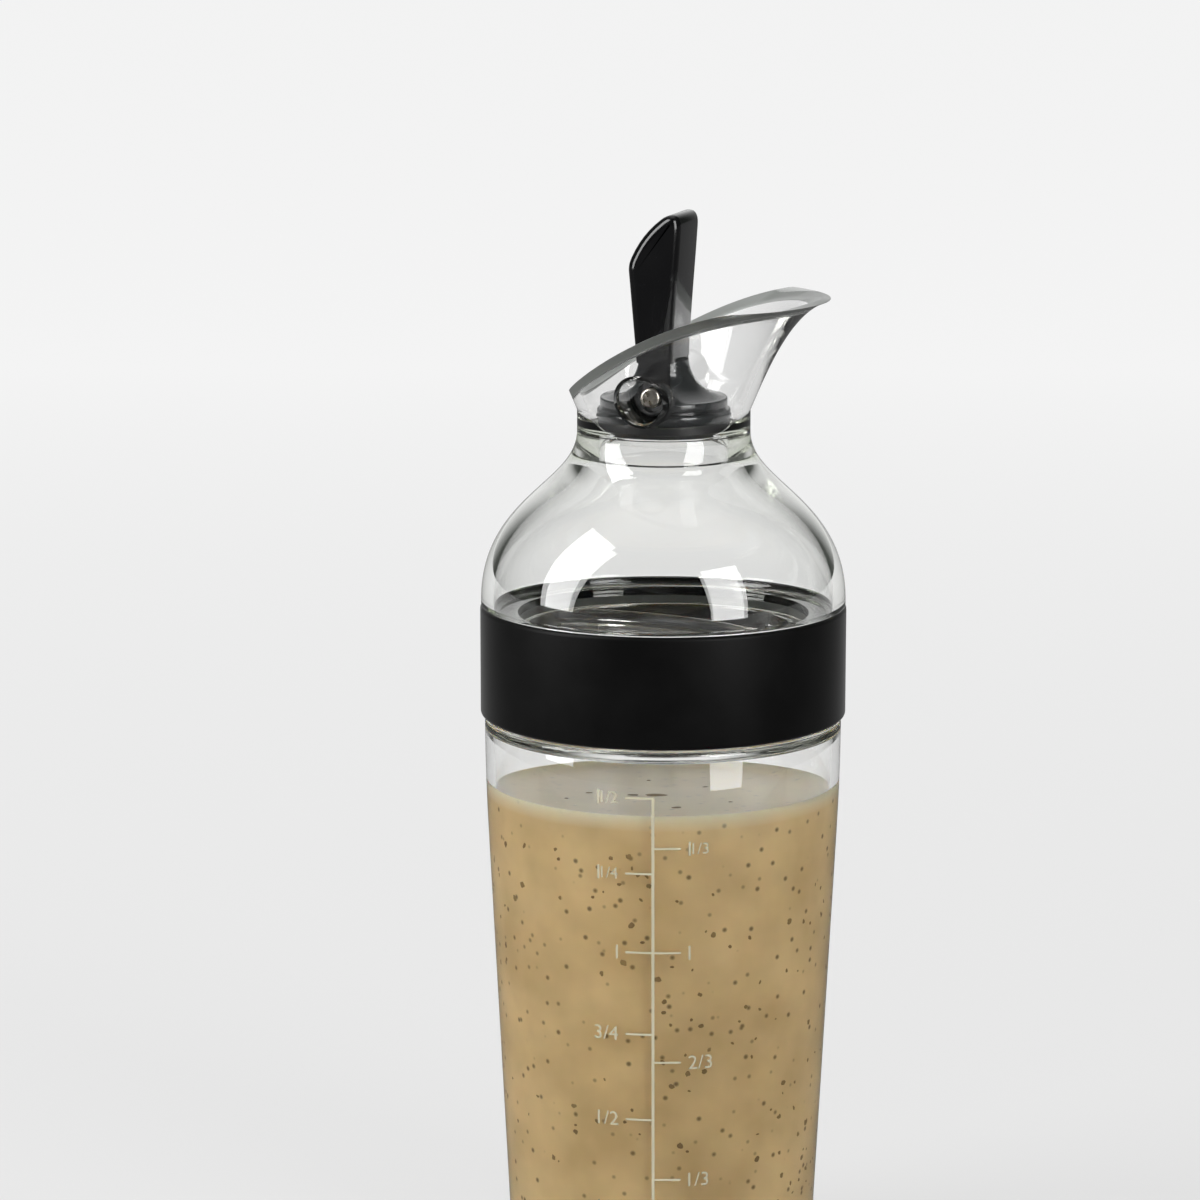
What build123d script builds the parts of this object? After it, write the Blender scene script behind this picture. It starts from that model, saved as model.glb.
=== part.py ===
from build123d import *
import os
from math import sqrt

# Salad dressing shaker bottle: a clear tapered container, a clear domed lid with a
# soft grip band, and a clear pouring spout whose stopper is rocked open by a lever.
# Millimetres. The origin is the centre of the underside of the container, +Z is up
# and the pouring lip points along +X. The lever pivots about a line along Y.

# Shared allowances
cut_overrun = 6.0
press_gap = 0.05
running_gap = 0.1
seal_gap = 0.3
face_gap = 0.2

# Container: tapered wall, flat shoulder and a narrower neck for the lid
container_foot_radius = 31.3
container_flank_radius = 36.5
container_flank_height = 94.0
container_shoulder_radius = 37.4
container_shoulder_height = 121.4
container_wall = 2.3
container_floor = 4.5
container_foot_round = 3.5
container_floor_round = 7.0
container_shoulder_round = 1.2
container_neck_step = 4.2
container_neck_wall = 2.2
container_neck_length = 18.6
container_rim_round = 0.7
container_throat_drop = 7.0
container_swell_reach = 10.0
container_throat_reach = 3.0

# Lid: skirt over the neck, sealing ledge and S-shaped dome up to a short neck
skirt_lift = 0.6
skirt_length = 23.4
thread_gap = 2.0
skirt_wall = 1.3
ledge_thickness = 1.8
ledge_overlap = 0.4
dome_overhang = 1.8
dome_base_edge = 1.0
dome_base_round = 0.4
dome_height = 36.8
dome_neck_radius = 18.1
dome_wall = 2.6
dome_outer_base_reach = 22.5
dome_outer_neck_reach = 8.5
dome_inner_base_reach = 20.5
dome_inner_neck_reach = 4.6

# Soft band around the skirt
band_thickness = 1.95
band_edge_round = 0.9

# Flat ring that seals the lid against the container's rim
lid_gasket_thickness = 2.0
lid_gasket_outset = 1.4

# Spout collar: spigot in the dome's neck, round seat and a flared, slanted bell
spigot_wall = 1.55
spigot_length = 6.0
collar_ring_height = 4.4
collar_wall = 1.9
lip_radius = 34.8
lip_rise = 27.8
lip_edge = 1.0
bell_foot_lean = 3.4
bell_foot_rise = 8.1
bell_lip_lean = 8.3
bell_lip_rise = 2.3
bell_inner_foot_lean = 3.3
bell_inner_foot_rise = 8.2
bell_inner_lip_lean = 9.0
bell_inner_lip_rise = 1.9

# Slanted rim seen from the side: distance from the axis and height over the joint
rim_back_reach = 19.2
rim_back_rise = 7.7
rim_middle_rise = 20.0
rim_front_reach = 14.7
rim_front_rise = 25.6
rim_tip_rise = 28.6

# Pivot: screws in conical pockets that reach in from the collar's outside
pivot_rise = 8.0
pocket_radius = 3.4
pocket_wall = 1.0
pocket_floor = 1.1
pocket_taper = 10
screw_radius = 1.1
screw_head_radius = 2.1
screw_head_height = 1.3
screw_grip = 2.0
screw_head_round = 0.6

# Lever: slanted thumb paddle on two ears that straddle the stopper's stem
lever_half_width = 8.6
ear_thickness = 2.0
ear_radius = 3.1
yoke_rise = 7.0
lever_tip_rise = 39.2
paddle_back_rise = 26.9
paddle_foot_front = 3.7
paddle_foot_back = 4.0
paddle_waist_rise = 20.0
paddle_waist_front = 4.0
paddle_back_reach = 5.8
paddle_front_reach = 5.3
paddle_front_rise = 33.1
paddle_tip_lean = 0.4
paddle_crown_bulge = 1.8
paddle_tip_round = 2.6
paddle_side_round = 2.0

# Stopper: flanged stem with a rubber seal ring held over a bead
stem_radius = 5.2
flange_radius = 13.35
flange_thickness = 1.8
flange_drop = 0.6
flange_edge_round = 0.5
flare_radius = 12.6
flare_foot_lean = 3.1
flare_foot_rise = 0.8
flare_stem_lean = 0.4
flare_stem_drop = 5.0
stopper_groove = 0.4
stopper_groove_depth = 0.8
stopper_disc_radius = 14.0
stopper_disc_thickness = 2.9
seal_boss_radius = 9.0
seal_bead_radius = 10.0
seal_bead_thickness = 0.9
stopper_seal_radius = 14.3
stopper_seal_thickness = 2.3
stopper_seal_lip = 0.7
stopper_seal_lean = 0.6
notch_gap = 0.4

# Heights and radii that follow from the sizes above
neck_radius = container_shoulder_radius - container_neck_step
container_mouth_radius = neck_radius - container_neck_wall
rim_height = container_shoulder_height + container_neck_length
skirt_bottom = container_shoulder_height + skirt_lift
skirt_top = skirt_bottom + skirt_length
skirt_inner_radius = neck_radius + thread_gap
skirt_outer_radius = skirt_inner_radius + skirt_wall
ledge_bottom = rim_height + face_gap + lid_gasket_thickness
ledge_top = ledge_bottom + ledge_thickness
ledge_inner_radius = container_mouth_radius - ledge_overlap
joint_height = skirt_top + dome_height
dome_base_radius = skirt_outer_radius + dome_overhang
dome_inner_radius = dome_base_radius - dome_wall
pivot_height = joint_height + pivot_rise

flange_top = pivot_height - flange_drop
flange_bottom = flange_top - flange_thickness
disc_top = flange_bottom - stopper_groove
disc_bottom = disc_top - stopper_disc_thickness
stopper_seal_bottom = disc_bottom - stopper_seal_thickness
yoke_height = pivot_height + yoke_rise
ear_inner = lever_half_width - ear_thickness
pocket_face = lever_half_width + face_gap
pocket_depth = pocket_face + pocket_floor
pocket_outer_radius = pocket_radius + pocket_wall
notch_radius = pocket_outer_radius + notch_gap

# The seal's lip swings about the pivot, so the seat is a ball around the pivot
lip_swing = sqrt(stopper_seal_radius**2 + (pivot_height - stopper_seal_bottom) ** 2)
seat_radius = lip_swing + seal_gap
spigot_inner_radius = sqrt(seat_radius**2 - pivot_rise**2)
spigot_outer_radius = spigot_inner_radius + spigot_wall
neck_bore_radius = spigot_outer_radius + press_gap
spigot_bottom = joint_height - spigot_length
neck_bore_bottom = spigot_bottom


def round_corner(sketch, radius_from_axis, height, rounding):
    """Round the corner of a profile that lies nearest to a given place."""
    corners = sketch.vertices().sort_by_distance((radius_from_axis, height))
    fillet(corners[0], rounding)


# Container
with BuildPart() as container:
    inner_shoulder = container_shoulder_radius - container_wall
    inner_flank = container_flank_radius - container_wall
    inner_foot = container_foot_radius - container_wall
    throat_top = container_shoulder_height - container_wall
    throat_bottom = throat_top - container_throat_drop
    with BuildSketch(Plane.XZ) as wall_profile:
        with BuildLine():
            Polyline(
                (0, container_floor),
                (0, 0),
                (container_foot_radius, 0),
                (container_flank_radius, container_flank_height),
            )
            Bezier(
                (container_flank_radius, container_flank_height),
                (
                    container_flank_radius
                    + container_swell_reach
                    * (container_flank_radius - container_foot_radius)
                    / container_flank_height,
                    container_flank_height + container_swell_reach,
                ),
                (
                    container_shoulder_radius,
                    container_shoulder_height - container_swell_reach,
                ),
                (container_shoulder_radius, container_shoulder_height),
            )
            Polyline(
                (container_shoulder_radius, container_shoulder_height),
                (neck_radius, container_shoulder_height),
                (neck_radius, rim_height),
                (container_mouth_radius, rim_height),
                (container_mouth_radius, throat_top),
            )
            Bezier(
                (container_mouth_radius, throat_top),
                (container_mouth_radius, throat_top - container_throat_reach),
                (inner_shoulder, throat_bottom + container_throat_reach),
                (inner_shoulder, throat_bottom),
            )
            Polyline(
                (inner_shoulder, throat_bottom),
                (inner_flank, container_flank_height),
                (inner_foot, container_floor),
                (0, container_floor),
            )
        make_face()
        round_corner(wall_profile, container_foot_radius, 0, container_foot_round)
        round_corner(wall_profile, inner_foot, container_floor, container_floor_round)
        round_corner(
            wall_profile,
            container_shoulder_radius,
            container_shoulder_height,
            container_shoulder_round,
        )
        round_corner(wall_profile, neck_radius, rim_height, container_rim_round)
        round_corner(
            wall_profile, container_mouth_radius, rim_height, container_rim_round
        )
    revolve(axis=Axis.Z)

# Lid dome with its skirt and sealing ledge
with BuildPart() as lid_dome:
    dome_edge_top = skirt_top + dome_base_edge
    with BuildSketch(Plane.XZ) as dome_profile:
        with BuildLine():
            Polyline(
                (neck_bore_radius, neck_bore_bottom),
                (neck_bore_radius, joint_height),
                (dome_neck_radius, joint_height),
            )
            Bezier(
                (dome_neck_radius, joint_height),
                (dome_neck_radius, joint_height - dome_outer_neck_reach),
                (dome_base_radius, dome_edge_top + dome_outer_base_reach),
                (dome_base_radius, dome_edge_top),
            )
            Polyline(
                (dome_base_radius, dome_edge_top),
                (dome_base_radius, skirt_top),
                (skirt_outer_radius, skirt_top),
                (skirt_outer_radius, skirt_bottom),
                (skirt_inner_radius, skirt_bottom),
                (skirt_inner_radius, ledge_bottom),
                (ledge_inner_radius, ledge_bottom),
                (ledge_inner_radius, ledge_top),
                (dome_inner_radius, ledge_top),
                (dome_inner_radius, dome_edge_top),
            )
            Bezier(
                (dome_inner_radius, dome_edge_top),
                (dome_inner_radius, dome_edge_top + dome_inner_base_reach),
                (neck_bore_radius, neck_bore_bottom - dome_inner_neck_reach),
                (neck_bore_radius, neck_bore_bottom),
            )
        make_face()
        round_corner(dome_profile, dome_base_radius, skirt_top, dome_base_round)
        round_corner(dome_profile, dome_inner_radius, ledge_top, ledge_thickness)
    revolve(axis=Axis.Z)

# Grip band
with BuildPart() as grip_band:
    band_inner_radius = skirt_outer_radius + press_gap
    with BuildSketch(Plane.XZ) as band_profile:
        with Locations((band_inner_radius, skirt_bottom)):
            Rectangle(band_thickness, skirt_length, align=(Align.MIN, Align.MIN))
        band_outer_radius = band_inner_radius + band_thickness
        round_corner(band_profile, band_outer_radius, skirt_bottom, band_edge_round)
        round_corner(band_profile, band_outer_radius, skirt_top, band_edge_round)
    revolve(axis=Axis.Z)

# Lid gasket
with BuildPart() as lid_gasket:
    with BuildSketch(Plane.XY.offset(ledge_bottom)):
        Circle(neck_radius + lid_gasket_outset)
        Circle(container_mouth_radius, mode=Mode.SUBTRACT)
    extrude(amount=-lid_gasket_thickness)

# Inside of the spout: the ball seat, the bell and the pockets that reach into it
with BuildPart() as spout_inside:
    seat_top = joint_height + collar_ring_height + collar_wall / 2
    seat_top_radius = sqrt(seat_radius**2 - (pivot_height - seat_top) ** 2)
    seat_middle = (joint_height + seat_top) / 2
    seat_middle_radius = sqrt(seat_radius**2 - (pivot_height - seat_middle) ** 2)
    inner_lip_height = joint_height + lip_rise + lip_edge
    with BuildSketch(Plane.XZ):
        with BuildLine():
            Polyline(
                (0, inner_lip_height + cut_overrun),
                (0, spigot_bottom - cut_overrun),
                (spigot_inner_radius, spigot_bottom - cut_overrun),
                (spigot_inner_radius, joint_height),
            )
            ThreePointArc(
                (spigot_inner_radius, joint_height),
                (seat_middle_radius, seat_middle),
                (seat_top_radius, seat_top),
            )
            Bezier(
                (seat_top_radius, seat_top),
                (
                    seat_top_radius + bell_inner_foot_lean,
                    seat_top + bell_inner_foot_rise,
                ),
                (
                    lip_radius - bell_inner_lip_lean,
                    inner_lip_height - bell_inner_lip_rise,
                ),
                (lip_radius, inner_lip_height),
            )
            Polyline(
                (lip_radius, inner_lip_height),
                (lip_radius, inner_lip_height + cut_overrun),
                (0, inner_lip_height + cut_overrun),
            )
        make_face()
    revolve(axis=Axis.Z)
    for side in (Plane.XZ, Plane.ZX):
        with BuildSketch(side.offset(pocket_face)) as pocket_foot:
            with Locations(side.to_local_coords(Vector(0, 0, pivot_height))):
                Circle(pocket_outer_radius)
        extrude(amount=lip_radius, taper=-pocket_taper, mode=Mode.SUBTRACT)

# Spout collar
with BuildPart() as spout_collar:
    ring_top = joint_height + collar_ring_height
    lip_height = joint_height + lip_rise
    with BuildSketch(Plane.XZ):
        with BuildLine():
            Polyline(
                (0, lip_height + lip_edge),
                (0, spigot_bottom),
                (spigot_outer_radius, spigot_bottom),
                (spigot_outer_radius, joint_height),
                (dome_neck_radius, joint_height),
                (dome_neck_radius, ring_top),
            )
            Bezier(
                (dome_neck_radius, ring_top),
                (dome_neck_radius + bell_foot_lean, ring_top + bell_foot_rise),
                (lip_radius - bell_lip_lean, lip_height - bell_lip_rise),
                (lip_radius, lip_height),
            )
            Polyline(
                (lip_radius, lip_height),
                (lip_radius, lip_height + lip_edge),
                (0, lip_height + lip_edge),
            )
        make_face()
    revolve(axis=Axis.Z)
    add(spout_inside.part, mode=Mode.SUBTRACT)
    with BuildSketch(Plane.XZ):
        with BuildLine():
            rim_line = Spline(
                (-rim_back_reach, joint_height + rim_back_rise),
                (0, joint_height + rim_middle_rise),
                (rim_front_reach, joint_height + rim_front_rise),
                (lip_radius, joint_height + rim_tip_rise),
            )
            back_run = rim_line % 0
            front_run = rim_line % 1
            back_end = rim_line @ 0 - back_run * cut_overrun
            front_end = rim_line @ 1 + front_run * cut_overrun
            rim_cut_top = front_end.Y + lip_rise
            Line(back_end, rim_line @ 0)
            Polyline(
                rim_line @ 1,
                front_end,
                (front_end.X, rim_cut_top),
                (-lip_radius - cut_overrun, rim_cut_top),
                (-lip_radius - cut_overrun, back_end.Y),
                back_end,
            )
        make_face()
    extrude(amount=lip_radius + cut_overrun, both=True, mode=Mode.SUBTRACT)
    for side in (Plane.XZ, Plane.ZX):
        pocket_centre = side.to_local_coords(Vector(0, 0, pivot_height))
        with BuildSketch(side.offset(pocket_depth)):
            with Locations(pocket_centre):
                Circle(pocket_radius)
        extrude(amount=lip_radius, taper=-pocket_taper, mode=Mode.SUBTRACT)
        with BuildSketch(side.offset(pocket_face - cut_overrun)):
            with Locations(pocket_centre):
                Circle(screw_radius + running_gap)
        extrude(amount=pocket_floor + cut_overrun * 2, mode=Mode.SUBTRACT)

# Stopper stem with its flange, flare and the bead that holds the seal
with BuildPart() as stopper_stem:
    with BuildSketch(Plane.XZ) as stem_profile:
        with BuildLine():
            Polyline(
                (stem_radius, yoke_height),
                (0, yoke_height),
                (0, stopper_seal_bottom - seal_bead_thickness),
                (seal_bead_radius, stopper_seal_bottom - seal_bead_thickness),
                (seal_bead_radius, stopper_seal_bottom),
                (seal_boss_radius, stopper_seal_bottom),
                (seal_boss_radius, disc_bottom),
                (stopper_disc_radius, disc_bottom),
                (stopper_disc_radius, disc_top),
                (flange_radius - stopper_groove_depth, disc_top),
                (flange_radius - stopper_groove_depth, flange_bottom),
                (flange_radius, flange_bottom),
                (flange_radius, flange_top),
                (flare_radius, flange_top),
            )
            Bezier(
                (flare_radius, flange_top),
                (flare_radius - flare_foot_lean, flange_top + flare_foot_rise),
                (stem_radius + flare_stem_lean, yoke_height - flare_stem_drop),
                (stem_radius, yoke_height),
            )
        make_face()
        round_corner(stem_profile, flange_radius, flange_top, flange_edge_round)
        round_corner(stem_profile, flange_radius, flange_bottom, flange_edge_round)
        round_corner(stem_profile, stopper_disc_radius, disc_top, flange_edge_round)
    revolve(axis=Axis.Z)
    for side in (Plane.XZ, Plane.ZX):
        pivot_centre = side.to_local_coords(Vector(0, 0, pivot_height))
        with BuildSketch(side.offset(pocket_face - running_gap)):
            with Locations(pivot_centre):
                Circle(notch_radius)
        extrude(amount=flange_radius, taper=-pocket_taper, mode=Mode.SUBTRACT)
        with BuildSketch(side.offset(ear_inner - press_gap)):
            with Locations(pivot_centre):
                Circle(ear_radius + press_gap)
        extrude(amount=flange_radius, mode=Mode.SUBTRACT)
        with BuildSketch(Plane.XY.offset(pivot_height)):
            with Locations((0, side.z_dir.Y * (ear_inner - press_gap + flange_radius / 2))):
                Rectangle(2 * (ear_radius + press_gap), flange_radius)
        extrude(amount=yoke_rise, mode=Mode.SUBTRACT)
        with BuildSketch(side.offset(ear_inner - screw_grip - press_gap)):
            with Locations(pivot_centre):
                Circle(screw_radius + press_gap)
        extrude(amount=flange_radius, mode=Mode.SUBTRACT)

# Stopper gasket: a ring with a thin lip that wipes the ball seat
with BuildPart() as stopper_gasket:
    with BuildSketch(Plane.XZ):
        with BuildLine():
            Polyline(
                (seal_boss_radius + press_gap, stopper_seal_bottom),
                (stopper_seal_radius, stopper_seal_bottom),
                (stopper_seal_radius, stopper_seal_bottom + stopper_seal_lip),
                (stopper_seal_radius - stopper_seal_lean, disc_bottom),
                (seal_boss_radius + press_gap, disc_bottom),
                close=True,
            )
        make_face()
    revolve(axis=Axis.Z)

# Lever
with BuildPart() as lever:
    paddle_top = pivot_height + lever_tip_rise
    paddle_back = pivot_height + paddle_back_rise
    paddle_front = pivot_height + paddle_front_rise
    paddle_waist = pivot_height + paddle_waist_rise
    paddle_tip = (paddle_front_reach + paddle_tip_lean, paddle_top)
    with BuildSketch(Plane.XZ) as paddle_profile:
        with BuildLine():
            Spline(
                (paddle_foot_front, yoke_height),
                (paddle_waist_front, paddle_waist),
                (paddle_front_reach, paddle_front),
                tangents=((0, 1), (paddle_tip_lean, paddle_top - paddle_front)),
            )
            Line((paddle_front_reach, paddle_front), paddle_tip)
            SagittaArc(
                paddle_tip,
                (-paddle_back_reach, paddle_back),
                -paddle_crown_bulge,
            )
            Line((-paddle_back_reach, paddle_back), (-paddle_foot_back, yoke_height))
            Line((-paddle_foot_back, yoke_height), (paddle_foot_front, yoke_height))
        make_face()
        round_corner(paddle_profile, *paddle_tip, paddle_tip_round)
        round_corner(
            paddle_profile, -paddle_back_reach, paddle_back, paddle_tip_round
        )
    extrude(amount=lever_half_width, both=True)
    outline = lever.edges().filter_by(Plane.XZ)
    paddle_outline = outline.filter_by(
        lambda edge: edge.center().Z > yoke_height + press_gap
    )
    fillet(paddle_outline, paddle_side_round)
    for side in (Plane.XZ, Plane.ZX):
        pivot_centre = side.to_local_coords(Vector(0, 0, pivot_height))
        with BuildSketch(side.offset(ear_inner)):
            with Locations(pivot_centre):
                Circle(ear_radius)
        extrude(amount=ear_thickness)
        with BuildSketch(Plane.XY.offset(pivot_height)):
            with Locations((0, side.z_dir.Y * (ear_inner + ear_thickness / 2))):
                Rectangle(2 * ear_radius, ear_thickness)
        extrude(amount=yoke_rise + paddle_side_round)
        with BuildSketch(side.offset(ear_inner - cut_overrun)):
            with Locations(pivot_centre):
                Circle(screw_radius + press_gap)
        extrude(amount=ear_thickness + cut_overrun * 2, mode=Mode.SUBTRACT)

# Pivot screws: one through each collar pocket and ear into the stem
with BuildPart() as pivot_screws:
    for side in (Plane.XZ, Plane.ZX):
        pivot_centre = side.to_local_coords(Vector(0, 0, pivot_height))
        with BuildSketch(side.offset(ear_inner - screw_grip)):
            with Locations(pivot_centre):
                Circle(screw_radius)
        extrude(amount=pocket_depth + running_gap - ear_inner + screw_grip)
        with BuildSketch(side.offset(pocket_depth + running_gap)):
            with Locations(pivot_centre):
                Circle(screw_head_radius)
        extrude(amount=screw_head_height)
    head_rims = pivot_screws.edges().filter_by(GeomType.CIRCLE).sort_by(Axis.Y)
    fillet([head_rims[0], head_rims[-1]], screw_head_round)

pieces = {
    "container": container,
    "lid_dome": lid_dome,
    "grip_band": grip_band,
    "lid_gasket": lid_gasket,
    "spout_collar": spout_collar,
    "stopper_stem": stopper_stem,
    "stopper_gasket": stopper_gasket,
    "lever": lever,
    "pivot_screws": pivot_screws,
}
os.makedirs("parts", exist_ok=True)
for piece_name, piece in pieces.items():
    piece.part.label = piece_name
    export_step(piece.part, f"parts/{piece_name}.step")
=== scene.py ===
"""Salad dressing shaker bottle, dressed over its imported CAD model.

Lengths are millimetres until a finished mesh is scaled to metres. The bottle stands
on the origin, its pouring lip points along +X and its lever rocks about a line along Y.
"""

import logging
import math
import random
from dataclasses import dataclass, field
from enum import Enum

import bmesh
import bpy
from bmesh.types import BMesh, BMVert
from bpy.types import ID, Material, Mesh, Node, NodeSocket, NodeTree, Object
from mathutils import Matrix, Vector, noise
from mathutils.geometry import interpolate_bezier


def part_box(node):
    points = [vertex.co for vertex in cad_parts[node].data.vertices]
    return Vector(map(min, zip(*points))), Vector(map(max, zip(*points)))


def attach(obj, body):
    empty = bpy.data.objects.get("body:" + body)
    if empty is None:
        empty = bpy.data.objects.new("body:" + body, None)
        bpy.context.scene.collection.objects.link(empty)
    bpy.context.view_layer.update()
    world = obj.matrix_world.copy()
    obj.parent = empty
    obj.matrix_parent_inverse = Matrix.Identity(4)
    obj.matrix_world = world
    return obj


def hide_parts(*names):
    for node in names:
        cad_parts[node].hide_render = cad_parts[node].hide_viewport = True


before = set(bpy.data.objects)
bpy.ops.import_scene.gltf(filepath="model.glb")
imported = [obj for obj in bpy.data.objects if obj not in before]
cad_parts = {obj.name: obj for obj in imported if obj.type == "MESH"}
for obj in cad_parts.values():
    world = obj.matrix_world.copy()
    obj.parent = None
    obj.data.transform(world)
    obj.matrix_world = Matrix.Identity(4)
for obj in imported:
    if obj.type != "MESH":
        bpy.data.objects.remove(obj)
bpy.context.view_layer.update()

MM = 0.001
CUBIC_MM_PER_ML = 1000
MOVE = Matrix.Translation
TURN_STEPS = 192
MERGE_DISTANCE = 0.002
SHARP_ANGLE = math.radians(32)
NO_OFFSET = Vector((0, 0, 0))
UPWARDS = Vector((0, 0, 1))

log = logging.getLogger("shaker_bottle")


class Body(Enum):
    """The moving bodies of the bottle."""

    CONTAINER = "container"
    LID = "lid"
    STOPPER = "stopper"


class Slot(Enum):
    """The material slots of the record."""

    CLEAR_BODY = "clear_body"
    CLEAR_LID = "clear_lid"
    CLEAR_SPOUT = "clear_spout"
    BAND = "band_rubber"
    STOPPER = "stopper_plastic"
    LEVER = "lever_plastic"
    STEEL = "screw_steel"
    DRESSING = "dressing"
    INK = "marking_ink"


class Way(Enum):
    """How one shape is combined with another."""

    JOIN = "UNION"
    CUT = "DIFFERENCE"
    KEEP_COMMON = "INTERSECT"


def linear(colour: str) -> tuple[float, float, float, float]:
    """Turn an sRGB hex colour into linear light.

    Args:
        colour: Hex text such as "#b79f74".

    Returns:
        Red, green, blue and an alpha of 1.
    """
    channels = [int(colour[start : start + 2], 16) / 255 for start in (1, 3, 5)]
    lights = [
        value / 12.92 if value <= 0.04045 else ((value + 0.055) / 1.055) ** 2.4
        for value in channels
    ]
    return (*lights, 1.0)


def add_node(
    tree: NodeTree,
    kind: str,
    settings: dict[str, object] | None = None,
    inputs: dict[str | int, object] | None = None,
) -> Node:
    """Add a node with its settings, values and links.

    Args:
        tree: The node tree that gets the node.
        kind: The node's Blender type name.
        settings: Properties of the node itself.
        inputs: Values for its sockets, or the sockets that feed them.

    Returns:
        The new node.
    """
    node = tree.nodes.new(kind)
    for name, value in (settings or {}).items():
        setattr(node, name, value)
    for name, value in (inputs or {}).items():
        if isinstance(value, NodeSocket):
            tree.links.new(value, node.inputs[name])
        else:
            node.inputs[name].default_value = value
    return node


def compute(tree: NodeTree, operation: str, *values: NodeSocket | float) -> NodeSocket:
    """Add a math node and give its result.

    Args:
        tree: The node tree that gets the node.
        operation: The math node's operation.
        values: The numbers or sockets that it reads.

    Returns:
        The result.
    """
    inputs = dict(enumerate(values))
    node = add_node(tree, "ShaderNodeMath", {"operation": operation}, inputs)
    return node.outputs[0]


def remap(
    tree: NodeTree,
    value: NodeSocket,
    source: tuple[float, float] = (0.0, 1.0),
    target: tuple[float, float] = (0.0, 1.0),
    course: str = "LINEAR",
) -> NodeSocket:
    """Map a value from one range to another, held at both ends.

    Args:
        tree: The node tree that gets the node.
        value: The value to map.
        source: The two ends of the value's own range.
        target: What the value becomes at those ends.
        course: How it goes from one end to the other: LINEAR or SMOOTHSTEP.

    Returns:
        The mapped value.
    """
    names = ("From Min", "From Max", "To Min", "To Max")
    inputs = {"Value": value, **dict(zip(names, source + target, strict=True))}
    node = add_node(
        tree, "ShaderNodeMapRange", {"interpolation_type": course}, inputs
    )
    return node.outputs["Result"]


def ramp(
    tree: NodeTree, value: NodeSocket, low: tuple[float, str], high: tuple[float, str]
) -> NodeSocket:
    """Colour a value between two stops of position and sRGB hex colour.

    Args:
        tree: The node tree that gets the node.
        value: The value to colour.
        low: Position and colour of the first stop.
        high: Position and colour of the second stop.

    Returns:
        The colour.
    """
    node = add_node(tree, "ShaderNodeValToRGB", inputs={"Fac": value})
    for stop, (position, colour) in zip(
        node.color_ramp.elements, (low, high), strict=True
    ):
        stop.position = position
        stop.color = linear(colour)
    return node.outputs["Color"]


def blend(
    tree: NodeTree, share: NodeSocket, first: NodeSocket | str, second: NodeSocket | str
) -> NodeSocket:
    """Mix two colours, each a socket or hex text, by the share of the second.

    Args:
        tree: The node tree that gets the node.
        share: How much of the second colour shows.
        first: The first colour.
        second: The second colour.

    Returns:
        The mixed colour.
    """
    first, second = (
        linear(colour) if isinstance(colour, str) else colour
        for colour in (first, second)
    )
    inputs = {0: share, 6: first, 7: second}
    return add_node(tree, "ShaderNodeMix", {"data_type": "RGBA"}, inputs).outputs[2]


def cloudy(tree: NodeTree, place: NodeSocket, size: float, detail: float) -> NodeSocket:
    """Add a noise whose features are about a size in millimetres."""
    inputs = {"Vector": place, "Scale": 1 / (size * MM), "Detail": detail}
    return add_node(tree, "ShaderNodeTexNoise", inputs=inputs).outputs["Fac"]


def relief(tree: NodeTree, pattern: NodeSocket, depth: float) -> NodeSocket:
    """Bend the surface by a pattern with a depth in millimetres."""
    inputs = {"Height": pattern, "Distance": depth * MM, "Strength": 1.0}
    return add_node(tree, "ShaderNodeBump", inputs=inputs).outputs["Normal"]


def new_material(name: str) -> tuple[Material, NodeTree]:
    """Make a material with an empty node tree.

    Args:
        name: The material's name.

    Returns:
        The material and its tree.
    """
    material = bpy.data.materials.new(name)
    material.use_nodes = True
    material.node_tree.nodes.clear()
    return material, material.node_tree


def show(
    tree: NodeTree, look: dict[str, object], inside: NodeSocket | None = None
) -> None:
    """Feed a principled surface to the output, and what lies inside it if given.

    Args:
        tree: The node tree that gets the nodes.
        look: Values for the surface's sockets.
        inside: The volume within the surface.
    """
    surface = add_node(tree, "ShaderNodeBsdfPrincipled", inputs=look)
    inputs = {"Surface": surface.outputs["BSDF"]}
    if inside is not None:
        inputs["Volume"] = inside
    add_node(tree, "ShaderNodeOutputMaterial", inputs=inputs)


def object_space(tree: NodeTree) -> NodeSocket:
    """Add the object coordinates, in metres, that every pattern reads."""
    return add_node(tree, "ShaderNodeTexCoord").outputs["Object"]


def split(tree: NodeTree, place: NodeSocket) -> dict[str, NodeSocket]:
    """Split a place into its X, Y and Z."""
    node = add_node(tree, "ShaderNodeSeparateXYZ", inputs={"Vector": place})
    return {output.name: output for output in node.outputs}


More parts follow.
